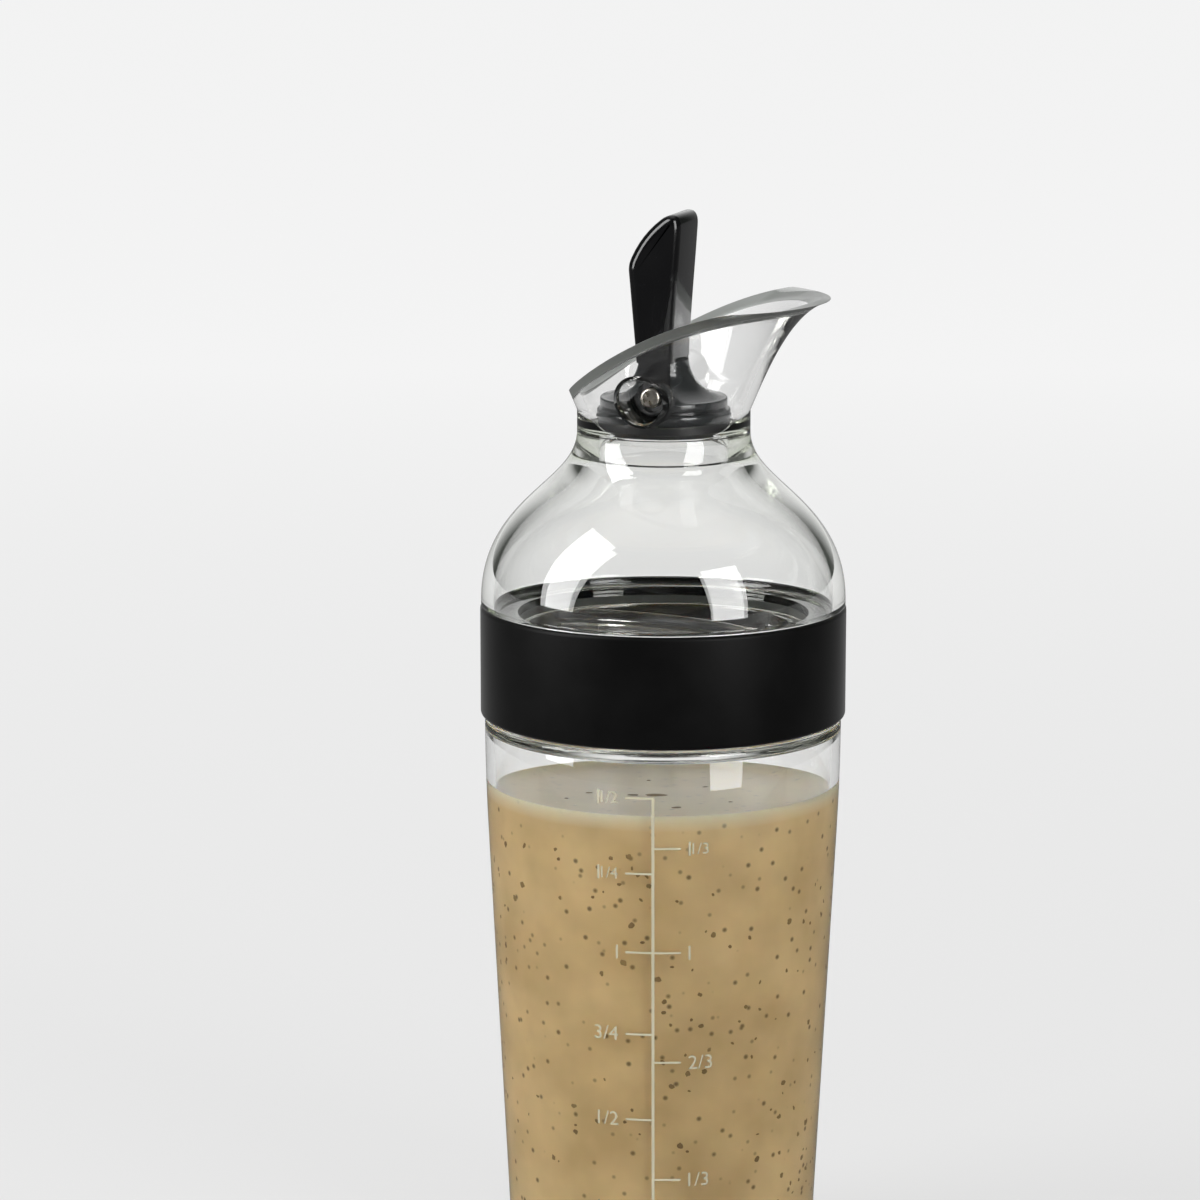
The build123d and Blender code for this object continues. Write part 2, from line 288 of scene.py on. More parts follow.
@dataclass(frozen=True)
class SatinRim:
    """The collar's slanted rim, a band below a curve drawn from the side.

    The mould leaves its edge satin. Its grey tint and cloudiness are painted shade:
    they stand in for the even grey ribbon that the rim shows round the clear bell in
    this light.
    """

    line: tuple[tuple[float, float], ...]
    depth: float = 2.1
    softness: float = 0.3
    # Painted grey shade of the rim, seen in this light.
    tint: str = "#828582"
    cloud: float = 0.6
    roughness: float = 0.3

    def steepness(self) -> list[float]:
        """Find the divided differences of the curve through the line's points.

        Returns:
            One difference for each point of the line.
        """
        values = [height for _, height in self.line]
        found = [values[0]]
        for order in range(1, len(self.line)):
            values = [
                (values[index + 1] - values[index])
                / (self.line[index + order][0] - self.line[index][0])
                for index in range(len(values) - 1)
            ]
            found.append(values[0])
        return found

    def mask(self, tree: NodeTree) -> NodeSocket:
        """Mark the band: 1 on it and 0 below it.

        Args:
            tree: The node tree that gets the nodes.

        Returns:
            The mask.
        """
        inputs = {0: object_space(tree), "Scale": 1 / MM}
        lengths = add_node(
            tree, "ShaderNodeVectorMath", {"operation": "SCALE"}, inputs
        )
        place = split(tree, lengths.outputs["Vector"])
        *lower, height = self.steepness()
        terms = list(zip(self.line[:-1], lower, strict=True))
        for (reach, _), rise in reversed(terms):
            run = compute(tree, "SUBTRACT", place["X"], reach)
            height = compute(tree, "MULTIPLY_ADD", run, height, rise)
        above = compute(tree, "SUBTRACT", place["Z"], height)
        edge = (-self.depth - self.softness, -self.depth)
        return remap(tree, above, edge, course="SMOOTHSTEP")


@dataclass(frozen=True)
class ClearPlastic:
    """Injection-moulded clear copolyester.

    Polished moulds leave it glossy, with very slight waves from the flow of the melt
    that bend reflections a little, and thick edges show a faint grey-green tint.
    """

    name: str
    tint: str = "#c9d4b4"
    density: float = 9.0
    ior: float = 1.5
    roughness: float = 0.012
    wave_size: float = 17.0
    wave_depth: float = 0.012
    rim: SatinRim | None = None

    def material(self) -> Material:
        """Make the node material.

        Returns:
            The material.
        """
        material, tree = new_material(self.name)
        waves = cloudy(tree, object_space(tree), self.wave_size, 1.0)
        look = {
            "Base Color": linear("#ffffff"),
            "Roughness": self.roughness,
            "IOR": self.ior,
            "Transmission Weight": 1.0,
            "Normal": relief(tree, waves, self.wave_depth),
        }
        if self.rim:
            mask = self.rim.mask(tree)
            roughness = (self.roughness, self.rim.roughness)
            clearness = (1.0, 1.0 - self.rim.cloud)
            look |= {
                # Painted shade: the grey tint and the lost clearness stand in for the
                # grey of the rim in this light; the rougher gloss is its own satin
                # finish.
                "Base Color": blend(tree, mask, "#ffffff", self.rim.tint),
                "Roughness": remap(tree, mask, target=roughness),
                "Transmission Weight": remap(tree, mask, target=clearness),
            }
        inputs = {"Color": linear(self.tint), "Density": self.density}
        depth = add_node(tree, "ShaderNodeVolumeAbsorption", inputs=inputs)
        show(tree, look, depth.outputs["Volume"])
        return material


@dataclass(frozen=True)
class MouldedPolymer:
    """An opaque moulded plastic or rubber.

    A fine mould texture breaks up the gloss: hardly at all on polished ABS, clearly on
    a matt elastomer, whose colour also varies a little from place to place.
    """

    name: str
    colour: str
    worn_colour: str
    roughness: float
    roughness_spread: float
    grain_size: float
    grain_depth: float
    ior: float = 1.5
    specular: float = 0.5
    sheen: float = 0.0
    sheen_roughness: float = 0.3
    cloud_size: float = 9.0
    worn_from: float = 0.35
    worn_to: float = 0.75
    gloss_range: tuple[float, float] = (0.3, 0.7)

    def material(self) -> Material:
        """Make the node material.

        Returns:
            The material.
        """
        material, tree = new_material(self.name)
        place = object_space(tree)
        cloud = cloudy(tree, place, self.cloud_size, 3.0)
        grain = cloudy(tree, place, self.grain_size, 2.0)
        low, high = (self.worn_from, self.colour), (self.worn_to, self.worn_colour)
        gloss = (self.roughness, self.roughness + self.roughness_spread)
        look = {
            "Base Color": ramp(tree, cloud, low, high),
            "Roughness": remap(tree, cloud, self.gloss_range, gloss),
            "IOR": self.ior,
            "Specular IOR Level": self.specular,
            "Sheen Weight": self.sheen,
            "Sheen Roughness": self.sheen_roughness,
            "Normal": relief(tree, grain, self.grain_depth),
        }
        show(tree, look)
        return material


@dataclass(frozen=True)
class PlatedSteel:
    """Nickel-plated steel, turned and lightly polished: warm grey with a soft gloss."""

    name: str
    colour: str = "#cdc7bc"
    roughness: float = 0.24
    roughness_spread: float = 0.14
    grain_size: float = 0.4

    def material(self) -> Material:
        """Make the node material.

        Returns:
            The material.
        """
        material, tree = new_material(self.name)
        grain = cloudy(tree, object_space(tree), self.grain_size, 3.0)
        gloss = (self.roughness, self.roughness + self.roughness_spread)
        look = {
            "Base Color": linear(self.colour),
            "Metallic": 1.0,
            "Roughness": remap(tree, grain, target=gloss),
        }
        show(tree, look)
        return material


@dataclass(frozen=True)
class CreamyDressing:
    """Shaken oil and vinegar emulsion with ground herbs and pepper.

    It is opaque and tan with soft clouds where the herbs are dense, fine specks of
    pepper, and a paler, thinner film along its upper edge.
    """

    name: str
    colour: str = "#edd29c"
    cloud_colour: str = "#d7bb86"
    film_colour: str = "#f7efd2"
    speck_colour: str = "#8a7048"
    level: float = 108.0
    film_depth: float = 3.4
    cloud_size: float = 16.0
    cloud_from: float = 0.34
    cloud_to: float = 0.66
    speck_spacing: float = 3.4
    speck_core: float = 0.08
    speck_edge: float = 0.2
    roughness: float = 0.3
    scatter_share: float = 0.35
    scatter_depths: tuple[float, float, float] = (3.0, 2.0, 1.0)

    def material(self) -> Material:
        """Make the node material.

        Returns:
            The material.
        """
        material, tree = new_material(self.name)
        place = object_space(tree)
        cloud = cloudy(tree, place, self.cloud_size, 3.0)
        low, high = (self.cloud_from, self.cloud_colour), (self.cloud_to, self.colour)
        body = ramp(tree, cloud, low, high)
        inputs = {"Vector": place, "Scale": 1 / (self.speck_spacing * MM)}
        cells = add_node(tree, "ShaderNodeTexVoronoi", inputs=inputs)
        core, edge = (self.speck_core, "#ffffff"), (self.speck_edge, "#000000")
        dots = ramp(tree, cells.outputs["Distance"], core, edge)
        speckled = blend(tree, dots, body, self.speck_colour)
        reach = ((self.level - self.film_depth) * MM, self.level * MM)
        film = remap(tree, split(tree, place)["Z"], reach)
        look = {
            "Base Color": blend(tree, film, speckled, self.film_colour),
            "Roughness": self.roughness,
            "Subsurface Weight": self.scatter_share,
            "Subsurface Radius": tuple(depth * MM for depth in self.scatter_depths),
            "Subsurface Scale": 1.0,
        }
        show(tree, look)
        return material


@dataclass
class Outline:
    """A closed profile of (distance from the axis, height) points."""

    points: list[Vector] = field(default_factory=list)

    def line(self, *corners: tuple[float, float]) -> None:
        """Add straight runs through the given corners."""
        self.points.extend(Vector(corner) for corner in corners)

    def curve(
        self,
        start: tuple[float, float],
        handle_out: tuple[float, float],
        handle_in: tuple[float, float],
        end: tuple[float, float],
        steps: int = 24,
    ) -> None:
        """Add a cubic curve from start to end, both included."""
        ends = [Vector((*place, 0)) for place in (start, handle_out, handle_in, end)]
        self.points.extend(p.to_2d() for p in interpolate_bezier(*ends, steps + 1))

    def round_corner(
        self, place: tuple[float, float], radius: float, steps: int = 6
    ) -> None:
        """Round the corner nearest to a place.

        Args:
            place: Distance from the axis and height of the corner.
            radius: Radius of the round.
            steps: Number of straight steps that draw it.
        """
        target = Vector(place)
        index = min(
            range(len(self.points)), key=lambda i: (self.points[i] - target).length
        )
        corner = self.points[index]
        back = self.points[index - 1] - corner
        ahead = self.points[(index + 1) % len(self.points)] - corner
        self.points[index : index + 1] = round_between(
            corner, back, ahead, radius, steps
        )


def blend_corner(
    outline: Outline, corner: Vector, radius: float, steps: int = 10
) -> None:
    """Round a corner whose neighbours are curves made of short lines.

    Args:
        outline: The outline to change.
        corner: The corner's place.
        radius: About the radius of the round.
        steps: Number of short lines in the round.
    """
    points = outline.points
    index = min(range(len(points)), key=lambda i: (points[i] - corner).length)
    before = (points[index - 2] - points[index]).normalized()
    after = (points[(index + 2) % len(points)] - points[index]).normalized()
    reach = radius / math.tan(math.acos(max(-1.0, min(1.0, before.dot(after)))) / 2)

    def walk(step: int) -> tuple[int, Vector]:
        """Follow the outline from the corner until the reach is used up.

        Args:
            step: 1 to go ahead, -1 to go back.

        Returns:
            The last whole point that was passed, and the place reached.
        """
        left, here = reach, index
        while True:
            there = (here + step) % len(points)
            run = points[there] - points[here]
            if run.length > left:
                return here, points[here] + run.normalized() * left
            left -= run.length
            here = there

    first, start = walk(-1)
    last, end = walk(1)
    handle = 0.6
    handles = [there + (points[index] - there) * handle for there in (start, end)]
    ends = [start, *handles, end]
    blend = [on_curve(ends, step / steps) for step in range(steps + 1)]
    kept = []
    here = (last + 1) % len(points)
    while here != first:
        kept.append(points[here])
        here = (here + 1) % len(points)
    outline.points = kept + blend


def round_between(
    corner: Vector, back: Vector, ahead: Vector, radius: float, steps: int
) -> list[Vector]:
    """Draw the arc that rounds a corner.

    Args:
        corner: The sharp corner.
        back: The way to the point before it.
        ahead: The way to the point after it.
        radius: Radius of the round, made smaller where a side is too short.
        steps: Number of straight steps.

    Returns:
        The points of the arc, from back to ahead.
    """
    half = back.angle(ahead) / 2
    # Neither of two rounds takes quite half of the side between them.
    longest = 0.48 * min(back.length, ahead.length)
    reach = min(radius / math.tan(half), longest)
    radius = reach * math.tan(half)
    middle = (back.normalized() + ahead.normalized()).normalized()
    centre = corner + middle * radius / math.sin(half)
    start, end = (
        (corner + way.normalized() * reach - centre).normalized()
        for way in (back, ahead)
    )
    ways = [start.slerp(end, step / steps) for step in range(steps + 1)]
    return [centre + way * radius for way in ways]


def spin_loop(shape: BMesh, corners: list[BMVert], steps: int = TURN_STEPS) -> None:
    """Join corners into a closed loop and spin it about the bottle's axis.

    Args:
        shape: The shape that holds the corners.
        corners: The corners of the loop, in order.
        steps: Number of steps in the full turn.
    """
    pairs = zip(corners, corners[1:] + corners[:1], strict=True)
    bmesh.ops.spin(
        shape,
        geom=corners + [shape.edges.new(pair) for pair in pairs],
        cent=NO_OFFSET,
        axis=UPWARDS,
        angle=math.tau,
        steps=steps,
        use_merge=True,
    )


def turn(outline: Outline, steps: int = TURN_STEPS) -> BMesh:
    """Spin a closed outline about the bottle's axis into a solid.

    Args:
        outline: The closed outline.
        steps: Number of steps in the full turn.

    Returns:
        The solid.
    """
    shape = bmesh.new()
    corners = [shape.verts.new((point.x, 0, point.y)) for point in outline.points]
    spin_loop(shape, corners, steps)
    return clean(shape)


def loft(shape: BMesh, rings: list[list[tuple[float, float, float]]]) -> None:
    """Join rings with equally many corners into a solid with flat ends.

    Args:
        shape: The shape to add to.
        rings: Places of each ring's corners, in order.
    """
    layers = [[shape.verts.new(place) for place in ring] for ring in rings]
    for ring, other in zip(layers[:-1], layers[1:], strict=True):
        for index in range(len(ring)):
            side = (ring[index - 1], ring[index], other[index], other[index - 1])
            shape.faces.new(side)
    shape.faces.new(layers[0])
    shape.faces.new(layers[-1])


def clean(shape: BMesh) -> BMesh:
    """Merge doubles, drop faces without area and turn the faces outwards.

    Args:
        shape: The shape to clean.

    Returns:
        The same shape.
    """
    bmesh.ops.remove_doubles(shape, verts=shape.verts, dist=MERGE_DISTANCE)
    bmesh.ops.dissolve_degenerate(shape, edges=shape.edges, dist=MERGE_DISTANCE)
    loose = [edge for edge in shape.edges if edge.is_wire]
    bmesh.ops.delete(shape, geom=loose, context="EDGES")
    bmesh.ops.recalc_face_normals(shape, faces=shape.faces)
    return shape


def side_rods(
    inner: float,
    outer: float,
    height: float,
    radii: tuple[float, float],
    steps: int = 96,
) -> BMesh:
    """Make two equal round rods about the pivot line, one on each side of the stem.

    Args:
        inner: Distance of the inner ends from the middle.
        outer: Distance of the outer ends from the middle.
        height: Height of the pivot line.
        radii: Radius at the inner and at the outer ends.
        steps: Number of sides of a rod.

    Returns:
        Both rods in one shape.
    """
    shape = bmesh.new()
    for side in (-1, 1):
        turned = Matrix.Rotation(-side * math.pi / 2, 4, "X")
        middle = Vector((0, side * (inner + outer) / 2, height))
        bmesh.ops.create_cone(
            shape,
            cap_ends=True,
            segments=steps,
            radius1=radii[0],
            radius2=radii[1],
            depth=outer - inner,
            matrix=MOVE(middle) @ turned,
        )
    return shape


def side_blocks(low: Vector, high: Vector) -> BMesh:
    """Make a box between two corners, and its mirror image on the other side.

    Args:
        low: The box's lowest corner.
        high: The box's highest corner.

    Returns:
        Both boxes in one shape.
    """
    shape = bmesh.new()
    size = high - low
    for side in (-1, 1):
        middle = (low + high) / 2
        middle.y *= side
        place = MOVE(middle) @ Matrix.Diagonal((*size, 1))
        bmesh.ops.create_cube(shape, size=1, matrix=place)
    return shape


def on_curve(ends: list[Vector], share: float) -> Vector:
    """Find the point at a share of the way along a cubic curve.

    Args:
        ends: The curve's start, two handles and end.
        share: Share of the way, from 0 to 1.

    Returns:
        The point.
    """
    rest = 1 - share
    weights = (rest**3, 3 * rest**2 * share, 3 * rest * share**2, share**3)
    return sum((end * w for end, w in zip(ends, weights, strict=True)), Vector((0, 0)))


def to_mesh(name: str, shape: BMesh) -> Mesh:
    """Turn a shape into a mesh, and free the shape.

    Args:
        name: Name of the mesh.
        shape: The shape.

    Returns:
        The mesh.
    """
    mesh = bpy.data.meshes.new(name)
    shape.to_mesh(mesh)
    shape.free()
    return mesh


def add_object(name: str, data: ID) -> Object:
    """Put a new object with its data into the scene.

    Args:
        name: Name of the object.
        data: Its mesh, text, camera or lamp.

    Returns:
        The object.
    """
    thing = bpy.data.objects.new(name, data)
    bpy.context.scene.collection.objects.link(thing)
    return thing


def combine(base: BMesh, tool: BMesh, way: Way) -> BMesh:
    """Join a tool shape to a base shape, cut it out, or keep what both share.

    Args:
        base: The shape that is worked on, which is freed.
        tool: The shape that works on it, which is freed too.
        way: Whether the two are joined, cut or kept where they meet.

    Returns:
        The combined shape.
    """
    things = [add_object("working", to_mesh("working", one)) for one in (base, tool)]
    modifier = things[0].modifiers.new("combine", "BOOLEAN")
    modifier.operation = way.value
    modifier.solver = "EXACT"
    modifier.object = things[1]
    result = bmesh.new()
    result.from_object(things[0], bpy.context.evaluated_depsgraph_get())
    for thing in things:
        mesh = thing.data
        bpy.data.objects.remove(thing)
        bpy.data.meshes.remove(mesh)
    return clean(result)


def finish_piece(
    name: str,
    shape: BMesh,
    material: Material,
    body: Body,
    slot: Slot,
    *replaced: str,
) -> None:
    """Turn a shape into a finished piece on its body.

    Args:
        name: Name of the piece.
        shape: The shape in millimetres, which is freed.
        material: The piece's finish.
        body: The body that it moves with.
        slot: The record's slot; not used.
        replaced: CAD nodes that it stands for.
    """
    for face in shape.faces:
        face.smooth = True
    for edge in shape.edges:
        edge.smooth = edge.calc_face_angle(0) < SHARP_ANGLE
    mesh = to_mesh(name, shape)
    mesh.transform(Matrix.Scale(MM, 4))
    mesh.materials.append(material)
    piece = add_object(name, mesh)
    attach(piece, body.value)
    if replaced:
        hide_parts(*replaced)
    log.info("%s: %d faces on %s", name, len(mesh.polygons), body.value)


def node_bottom(node: str) -> float:
    """Height of a CAD node's lowest point, in millimetres."""
    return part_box(node)[0].z / MM


def node_top(node: str) -> float:
    """Height of a CAD node's highest point, in millimetres."""
    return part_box(node)[1].z / MM


@dataclass
class Container:
    """The tapered container with its shoulder and neck."""

    foot_radius: float = 32.0
    flank_radius: float = 36.8
    flank_height: float = 94.0
    shoulder_radius: float = 37.6
    shoulder_height: float = 121.4
    wall: float = 2.3
    floor: float = 4.5
    mouth_radius: float = 31.0
    neck_radius: float = 33.2
    foot_round: float = 3.5
    floor_round: float = 7.0
    shoulder_round: float = 1.2
    rim_round: float = 0.7
    shoulder_thickness: float = 1.2
    throat_drop: float = 1.4
    swell_reach: float = 10.0
    throat_reach: float = 0.8

    def outer_radius(self, height: float) -> float:
        """Radius of the tapered wall's outside at a height.

        Args:
            height: Height above the table.

        Returns:
            The radius.
        """
        share = height / self.flank_height
        straight = self.foot_radius + (self.flank_radius - self.foot_radius) * share
        return min(straight, self.shoulder_radius)

    def outline(self) -> Outline:
        """Draw the wall, floor, shoulder and neck.

        Returns:
            The closed outline.
        """
        rim = node_top("container")
        inner_foot = self.foot_radius - self.wall
        inner_shoulder = self.shoulder_radius - self.wall
        throat_top = self.shoulder_height - self.shoulder_thickness
        throat_bottom = throat_top - self.throat_drop
        taper = (self.flank_radius - self.foot_radius) / self.flank_height
        outline = Outline()
        outline.line((0, 0), (self.foot_radius, 0))
        swell = self.swell_reach
        outline.curve(
            (self.flank_radius, self.flank_height),
            (self.flank_radius + swell * taper, self.flank_height + swell),
            (self.shoulder_radius, self.shoulder_height - swell),
            (self.shoulder_radius, self.shoulder_height),
            steps=14,
        )
        outline.line(
            (self.neck_radius, self.shoulder_height),
            (self.neck_radius, rim),
            (self.mouth_radius, rim),
        )
        outline.curve(
            (self.mouth_radius, throat_top),
            (self.mouth_radius, throat_top - self.throat_reach),
            (inner_shoulder, throat_bottom + self.throat_reach),
            (inner_shoulder, throat_bottom),
        )
        outline.line(
            (self.flank_radius - self.wall, self.flank_height),
            (inner_foot, self.floor),
            (0, self.floor),
        )
        outline.round_corner((self.foot_radius, 0), self.foot_round)
        outline.round_corner((inner_foot, self.floor), self.floor_round, steps=10)
        outline.round_corner(
            (self.shoulder_radius, self.shoulder_height), self.shoulder_round
        )
        outline.round_corner((self.neck_radius, rim), self.rim_round)
        outline.round_corner((self.mouth_radius, rim), self.rim_round)
        return outline

    def build(self, plastic: Material) -> None:
        """Build the container.

        Args:
            plastic: The container's finish.
        """
        wall = turn(self.outline())
        target = Body.CONTAINER, Slot.CLEAR_BODY
        finish_piece("container_body", wall, plastic, *target, "container")


@dataclass(frozen=True)
class Mark:
    """One mark of the measuring scale: its volume, side and figures."""

    volume_ml: float
    side: int
    whole: str
    share: str = ""


@dataclass
class MeasuringScale:
    """A printed scale that is wrapped round the tapered wall.

    It is laid out flat, with x along the wall, y out of the wall and z up, and each
    point is then moved onto the wall.
    """

    name: str
    container: Container
    marks: tuple[Mark, ...]
    azimuth: float
    bottom: float = 16.0
    top: float = 112.3
    line_width: float = 0.6
    tick_length: float = 5.7
    tick_width: float = 0.42
    print_stretch: float = 1.039
    print_drop: float = 2.5
    figure_gap: float = 1.6
    figure_size: float = 4.3
    share_size: float = 3.4
    share_gap: float = 0.35
    sunk: float = 0.03
    ink_thickness: float = 0.09
    bend_step: float = 1.2
    level_step: float = 0.1

    def height_of(self, volume_ml: float) -> float:
        """Find the level at which the container holds a volume.

        Args:
            volume_ml: The volume in millilitres.

        Returns:
            The height of its mark.
        """
        floor, wall = self.container.floor, self.container.wall
        height, held = floor, 0.0
        while held < volume_ml * CUBIC_MM_PER_ML:
            inner = self.container.outer_radius(height) - wall
            held += math.pi * inner**2 * self.level_step
            height += self.level_step
        return floor + (height - floor) * self.print_stretch - self.print_drop

    def add_line(
        self,
        ink: BMesh,
        start: tuple[float, float],
        end: tuple[float, float],
        wide: float,
    ) -> None:
        """Add a straight printed line to the flat layout.

        Args:
            ink: The layout to add to.
            start: Where the line starts.
            end: Where the line ends.
            wide: Width of the line.
        """
        run = Vector(end) - Vector(start)
        steps = max(2, math.ceil(run.length / self.bend_step))
        across = Vector((-run.y, run.x)).normalized() * wide / 2
        rings = []
        for step in range(steps + 1):
            middle = Vector(start) + run * step / steps
            low, high = middle - across, middle + across
            under, over = -self.sunk, self.ink_thickness
            corners = ((low, under), (high, under), (high, over), (low, over))
            rings.append([(place.x, out, place.y) for place, out in corners])
        loft(ink, rings)

    def add_figures(
        self, ink: BMesh, words: str, size: float, place: tuple[float, float]
    ) -> float:
        """Add printed figures to the flat layout.

        Args:
            ink: The layout to add to.
            words: The figures to print.
            size: Height of the type.
            place: Left end and middle height of the figures.

        Returns:
            The width of the figures.
        """
        curve = bpy.data.curves.new("figures", "FONT")
        curve.body = words
        curve.size = size
        curve.extrude = (self.sunk + self.ink_thickness) / 2
        curve.resolution_u = 3
        holder = add_object("figures", curve)
        bpy.context.view_layer.update()
        mesh = bpy.data.meshes.new_from_object(holder)
        bpy.data.objects.remove(holder)
        bpy.data.curves.remove(curve)
        lows = [min(vert.co[axis] for vert in mesh.vertices) for axis in range(3)]
        highs = [max(vert.co[axis] for vert in mesh.vertices) for axis in range(3)]
        for vert in mesh.vertices:
            x, y, z = vert.co
            vert.co = (
                place[0] + x - lows[0],
                z - lows[2] - self.sunk,
                place[1] + y - (lows[1] + highs[1]) / 2,
            )
        ink.from_mesh(mesh)
        bpy.data.meshes.remove(mesh)
        return highs[0] - lows[0]

    def add_mark(self, ink: BMesh, mark: Mark) -> None:
        """Add a tick with its figures to the flat layout.

        Args:
            ink: The layout to add to.
            mark: The mark to print.
        """
        height = self.height_of(mark.volume_ml)
        reach = mark.side * self.tick_length
        # Ticks start past the line's middle, so that two of them share no end face.
        start = -mark.side * self.line_width / 4
        self.add_line(ink, (start, height), (reach, height), self.tick_width)
        first = len(ink.verts)
        width = self.add_figures(ink, mark.whole, self.figure_size, (0, height))
        if mark.share:
            place = (width + self.share_gap, height)
            width = place[0] + self.add_figures(ink, mark.share, self.share_size, place)
        left = reach + mark.side * self.figure_gap - (width if mark.side < 0 else 0)
        bmesh.ops.translate(ink, verts=list(ink.verts)[first:], vec=(left, 0, 0))

    def build(self, ink_finish: Material) -> None:
        """Lay the scale out flat, then wrap it round the wall.

        Args:
            ink_finish: The ink's finish.
        """
        ink = bmesh.new()
        self.add_line(ink, (0, self.bottom), (0, self.top), self.line_width)
        for mark in self.marks:
            self.add_mark(ink, mark)
        for vert in ink.verts:
            radius = self.container.outer_radius(vert.co.z)
            around = self.azimuth + vert.co.x / radius
            radius += vert.co.y
            vert.co.x = radius * math.sin(around)
            vert.co.y = -radius * math.cos(around)
        finish_piece(self.name, clean(ink), ink_finish, Body.CONTAINER, Slot.INK)


@dataclass
class Threads:
    """Screw threads: several starts of a trapezoid ridge on a helix."""

    name: str
    root_radius: float
    crest_radius: float
    foot_height: float
    body: Body
    slot: Slot
    starts: int = 4
    lead: float = 24.0
    root_width: float = 2.6
    crest_width: float = 1.2
    reach: float = math.radians(150)
    steps: int = 60

    def build(self, plastic: Material) -> None:
        """Spin the ridges upwards and put them on their wall.

        Args:
            plastic: The finish of the wall that carries them.
        """
        rise = self.lead * self.reach / math.tau
        profile = (
            (self.root_radius, 0),
            (self.root_radius, self.root_width),
            (self.crest_radius, (self.root_width + self.crest_width) / 2),
            (self.crest_radius, (self.root_width - self.crest_width) / 2),
        )
        shape = bmesh.new()
        for start in range(self.starts):
            way = Matrix.Rotation(math.tau * start / self.starts, 3, "Z")
            section = [
                shape.verts.new(way @ Vector((radius, 0, self.foot_height + up)))
                for radius, up in profile
            ]
            pairs = zip(section[-1:] + section[:-1], section, strict=True)
            edges = [shape.edges.new(pair) for pair in pairs]
            foot = shape.faces.new(section)
            spun = bmesh.ops.spin(
                shape,
                geom=section + edges,
                cent=NO_OFFSET,
                axis=UPWARDS,
                dvec=UPWARDS * rise / self.steps,
                angle=self.reach,
                steps=self.steps,
            )
            last = [part for part in spun["geom_last"] if isinstance(part, BMVert)]
            shape.faces.new(self.in_order(last))
            foot.normal_flip()
        finish_piece(self.name, clean(shape), plastic, self.body, self.slot)

    def in_order(self, corners: list[BMVert]) -> list[BMVert]:
        """Put the corners of a section in order round its edge.

        Args:
            corners: The corners of one section.

        Returns:
            The same corners, in order.
        """
        middle = sum((corner.co for corner in corners), NO_OFFSET) / len(corners)

        def turn_of(corner: BMVert) -> float:
            """Angle of a corner about the section's middle."""
            out = corner.co.xy.length - middle.xy.length
            return math.atan2(corner.co.z - middle.z, out)

        return sorted(corners, key=turn_of)


